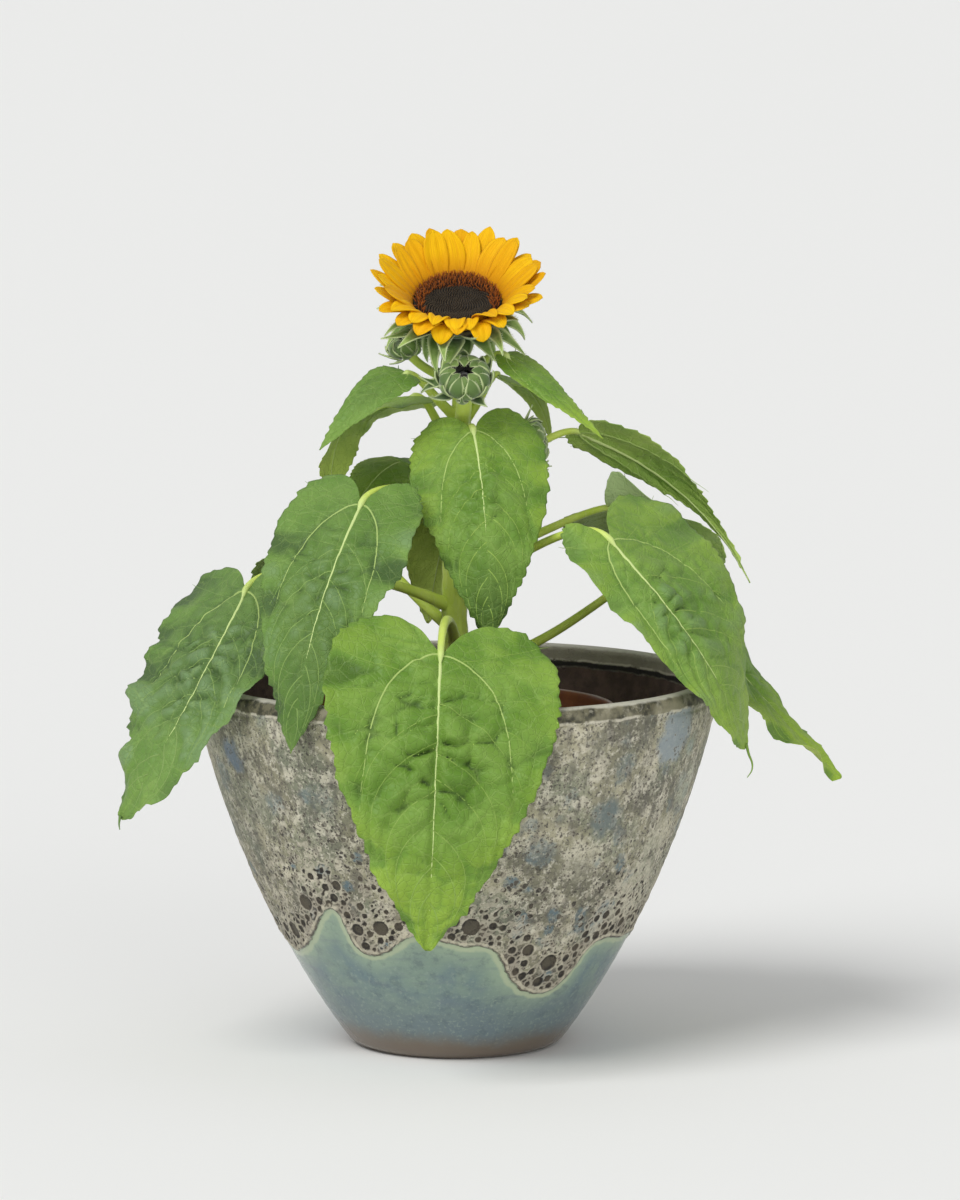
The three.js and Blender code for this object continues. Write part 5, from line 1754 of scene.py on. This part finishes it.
def axes_for(axis):
    """Three unit directions with the third along the axis, turned there from straight up the shortest way."""
    up = unit(np.array(axis, float))
    x, y, z = np.cross([0, 0, 1], up)
    k = np.array([[0, -z, y], [z, 0, -x], [-y, x, 0]])
    return (np.eye(3) + k + k @ k / (1 + up[2])).T


def bud_sheets(bud, rng):
    """The bracts of a bud: rows that wrap it, a ruff under them, and perhaps a leaflet."""
    radius, sheets = bud.radius, []
    for row, (begin, end, width, clear) in enumerate(WRAPPED_ROWS):
        for i in range(BUD_BRACTS):
            bearing = 2 * math.pi * (i + 0.5 * (row % 2) + rng.uniform(-0.1, 0.1)) / BUD_BRACTS
            end_here = min(0.995, end * rng.uniform(0.95, 1.03) + 0.06 * (1 - bud.opening))
            flare = 0.08 * row + 0.15 * rng.random()
            sheets.append(wrapped_bract(radius, bearing, begin, end_here, width * radius, clear, flare))
    for i in range(BUD_BRACTS):
        bearing = 2 * math.pi * (i + rng.uniform(-0.3, 0.3)) / BUD_BRACTS
        angles = rng.uniform(5, 45), rng.uniform(30, 110)
        start, reach = (0.75 * radius, -0.5 * radius), radius * rng.uniform(0.9, 1.4)
        ruff = strap(start, reach, bract_outline(0.5 * radius, 0.1), *angles, BRACT_COLUMNS, 0.4)
        sheets.append(turned_by(ruff, bearing))
    if bud.leaflet:
        start, outline = (0.8 * radius, -0.1 * radius), bract_outline(9, 0.3)
        leaflet = strap(start, bud.leaflet, outline, -20, -60, BRACT_COLUMNS, 0.4)
        sheets.append(turned_by(leaflet, math.pi))
    return sheets


def bud_stalk(bud):
    """A bud's stalk: it leaves the stem like a leaf's, is ribbed, and thickens at both ends."""
    way = unit(np.array(bud.axis, float))
    foot = np.array(bud.centre, float) - way * 0.9 * BUD_DEPTH * bud.radius
    path = stalk_path(bud.node, foot, way, BUD_RISE, BUD_STALK_RINGS)
    level = np.cross([0, 0, 1], path[-1] - path[0])
    swell = np.interp(np.linspace(0, 1, BUD_STALK_RINGS), [0, 0.1, 0.85, 1], [1.25, 1, 1, 1.25])
    turn = round_turn(BUD_STALK_SIDES)
    radii = (bud.stalk * swell)[:, None] * (1 + 0.03 * np.cos(9 * turn))[None, :]
    return tube(path, level, radii, BUD_STALK_SIDES)


bud_star, tree, shader = finish_of("bud_heart", 0.8, Sheen_Weight=0.3)
spot = add(tree, "TexCoord")["Object"]
cloud = add(tree, "TexNoise", {"Vector": spot, "Scale": 600, "Detail": 3})["Fac"]
dressed(tree, shader, coated(tree, "#100e0b", ("#2a2618", (cloud, 0.35, 0.7))), None, cloud, 0.0006)

for name, bud in BUDS.items():
    radius, centre, axes = bud.radius, np.array(bud.centre, float), axes_for(bud.axis)
    rng = np.random.default_rng(80 + radius)
    shapes, places, hairs = [], [], []
    for sheet in bud_sheets(bud, rng):
        shapes.append(thickened(sheet, 0.7))
        places.append(bract_place(rng, 0.9))
        hairs.append(edge_hairs(sheet, rng, 60, 0.13 * radius))
    bract_values = {"bract_place": np.concatenate(places)}
    bud_shape = set_at(joined(shapes), centre, axes)
    make_piece(name + "_bud_bracts", bud_shape, bract_finish, [name + "_bud"], bract_values)
    heart = set_at(turned(np.array(BUD_HEART) * radius, BUD_HEART_SIDES), centre, axes)
    make_piece(name + "_bud_heart", heart, bud_star)
    all_hairs.append(set_at(joined(hairs), centre, axes))
    stalk_shape = bud_stalk(bud)
    tone = {"stem_tone": np.full(len(stalk_shape[0]), 0.1)}
    make_piece(name + "_bud_stalk_ribbed", stalk_shape, stem_finish, [name + "_bud_stalk"], tone)

# %% [markdown]
# Stiff hairs cover the stem and the leaf stalks. They are about a millimetre long, and each is a three-sided
# spike, dealt by a seeded draw over the skin of the limb that it stands on.

# %% Hairs
STEM_HAIRS = 2600
STALK_HAIRS = 260


def limb_hairs(shape, sides, count, length, seed):
    """Hairs on a limb: roots at dealt points of its skin, standing out from its middle line."""
    rng = np.random.default_rng(seed)
    rings = (len(shape[0]) - 2) // sides
    skin = shape[0][:-2].reshape(rings, sides, 3)
    ring, side = rng.integers(1, rings - 1, count), rng.integers(0, sides, count)
    between = rng.random((count, 1))
    roots = skin[ring, side] * between + skin[ring + 1, side] * (1 - between)
    ways = unit(unit(roots - skin[ring].mean(1)) + rng.normal(0, 0.25, (count, 3)))
    return spikes(roots - 0.1 * ways, ways, rng.uniform(0.5, 1.2, count) * length, 0.06)


all_hairs.append(limb_hairs(stem_shape, STEM_SIDES, STEM_HAIRS, 1.4, 91))
for count, leaf in enumerate(LEAVES.values()):
    (points, faces), _ = stalk_and_midrib(leaf)
    stalk_points = points[: (STALK_RINGS - 1) * STALK_SIDES + 2]
    all_hairs.append(limb_hairs((stalk_points, faces), STALK_SIDES, STALK_HAIRS, 1.0, 200 + count))
make_piece("stem_and_bract_hairs", joined(all_hairs), hair_finish)

# %% [markdown]
# The size of the dressed object is set beside the solids', and the print shows how far it stands out on each
# side, which should be no more than a leaf's wave or a hair.

# %% Size and finish
now_low, now_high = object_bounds()
past = (*(cad_low - now_low), *(now_high - cad_high))
print("stands out by", [round(1000 * gap, 1) for gap in past], "mm")
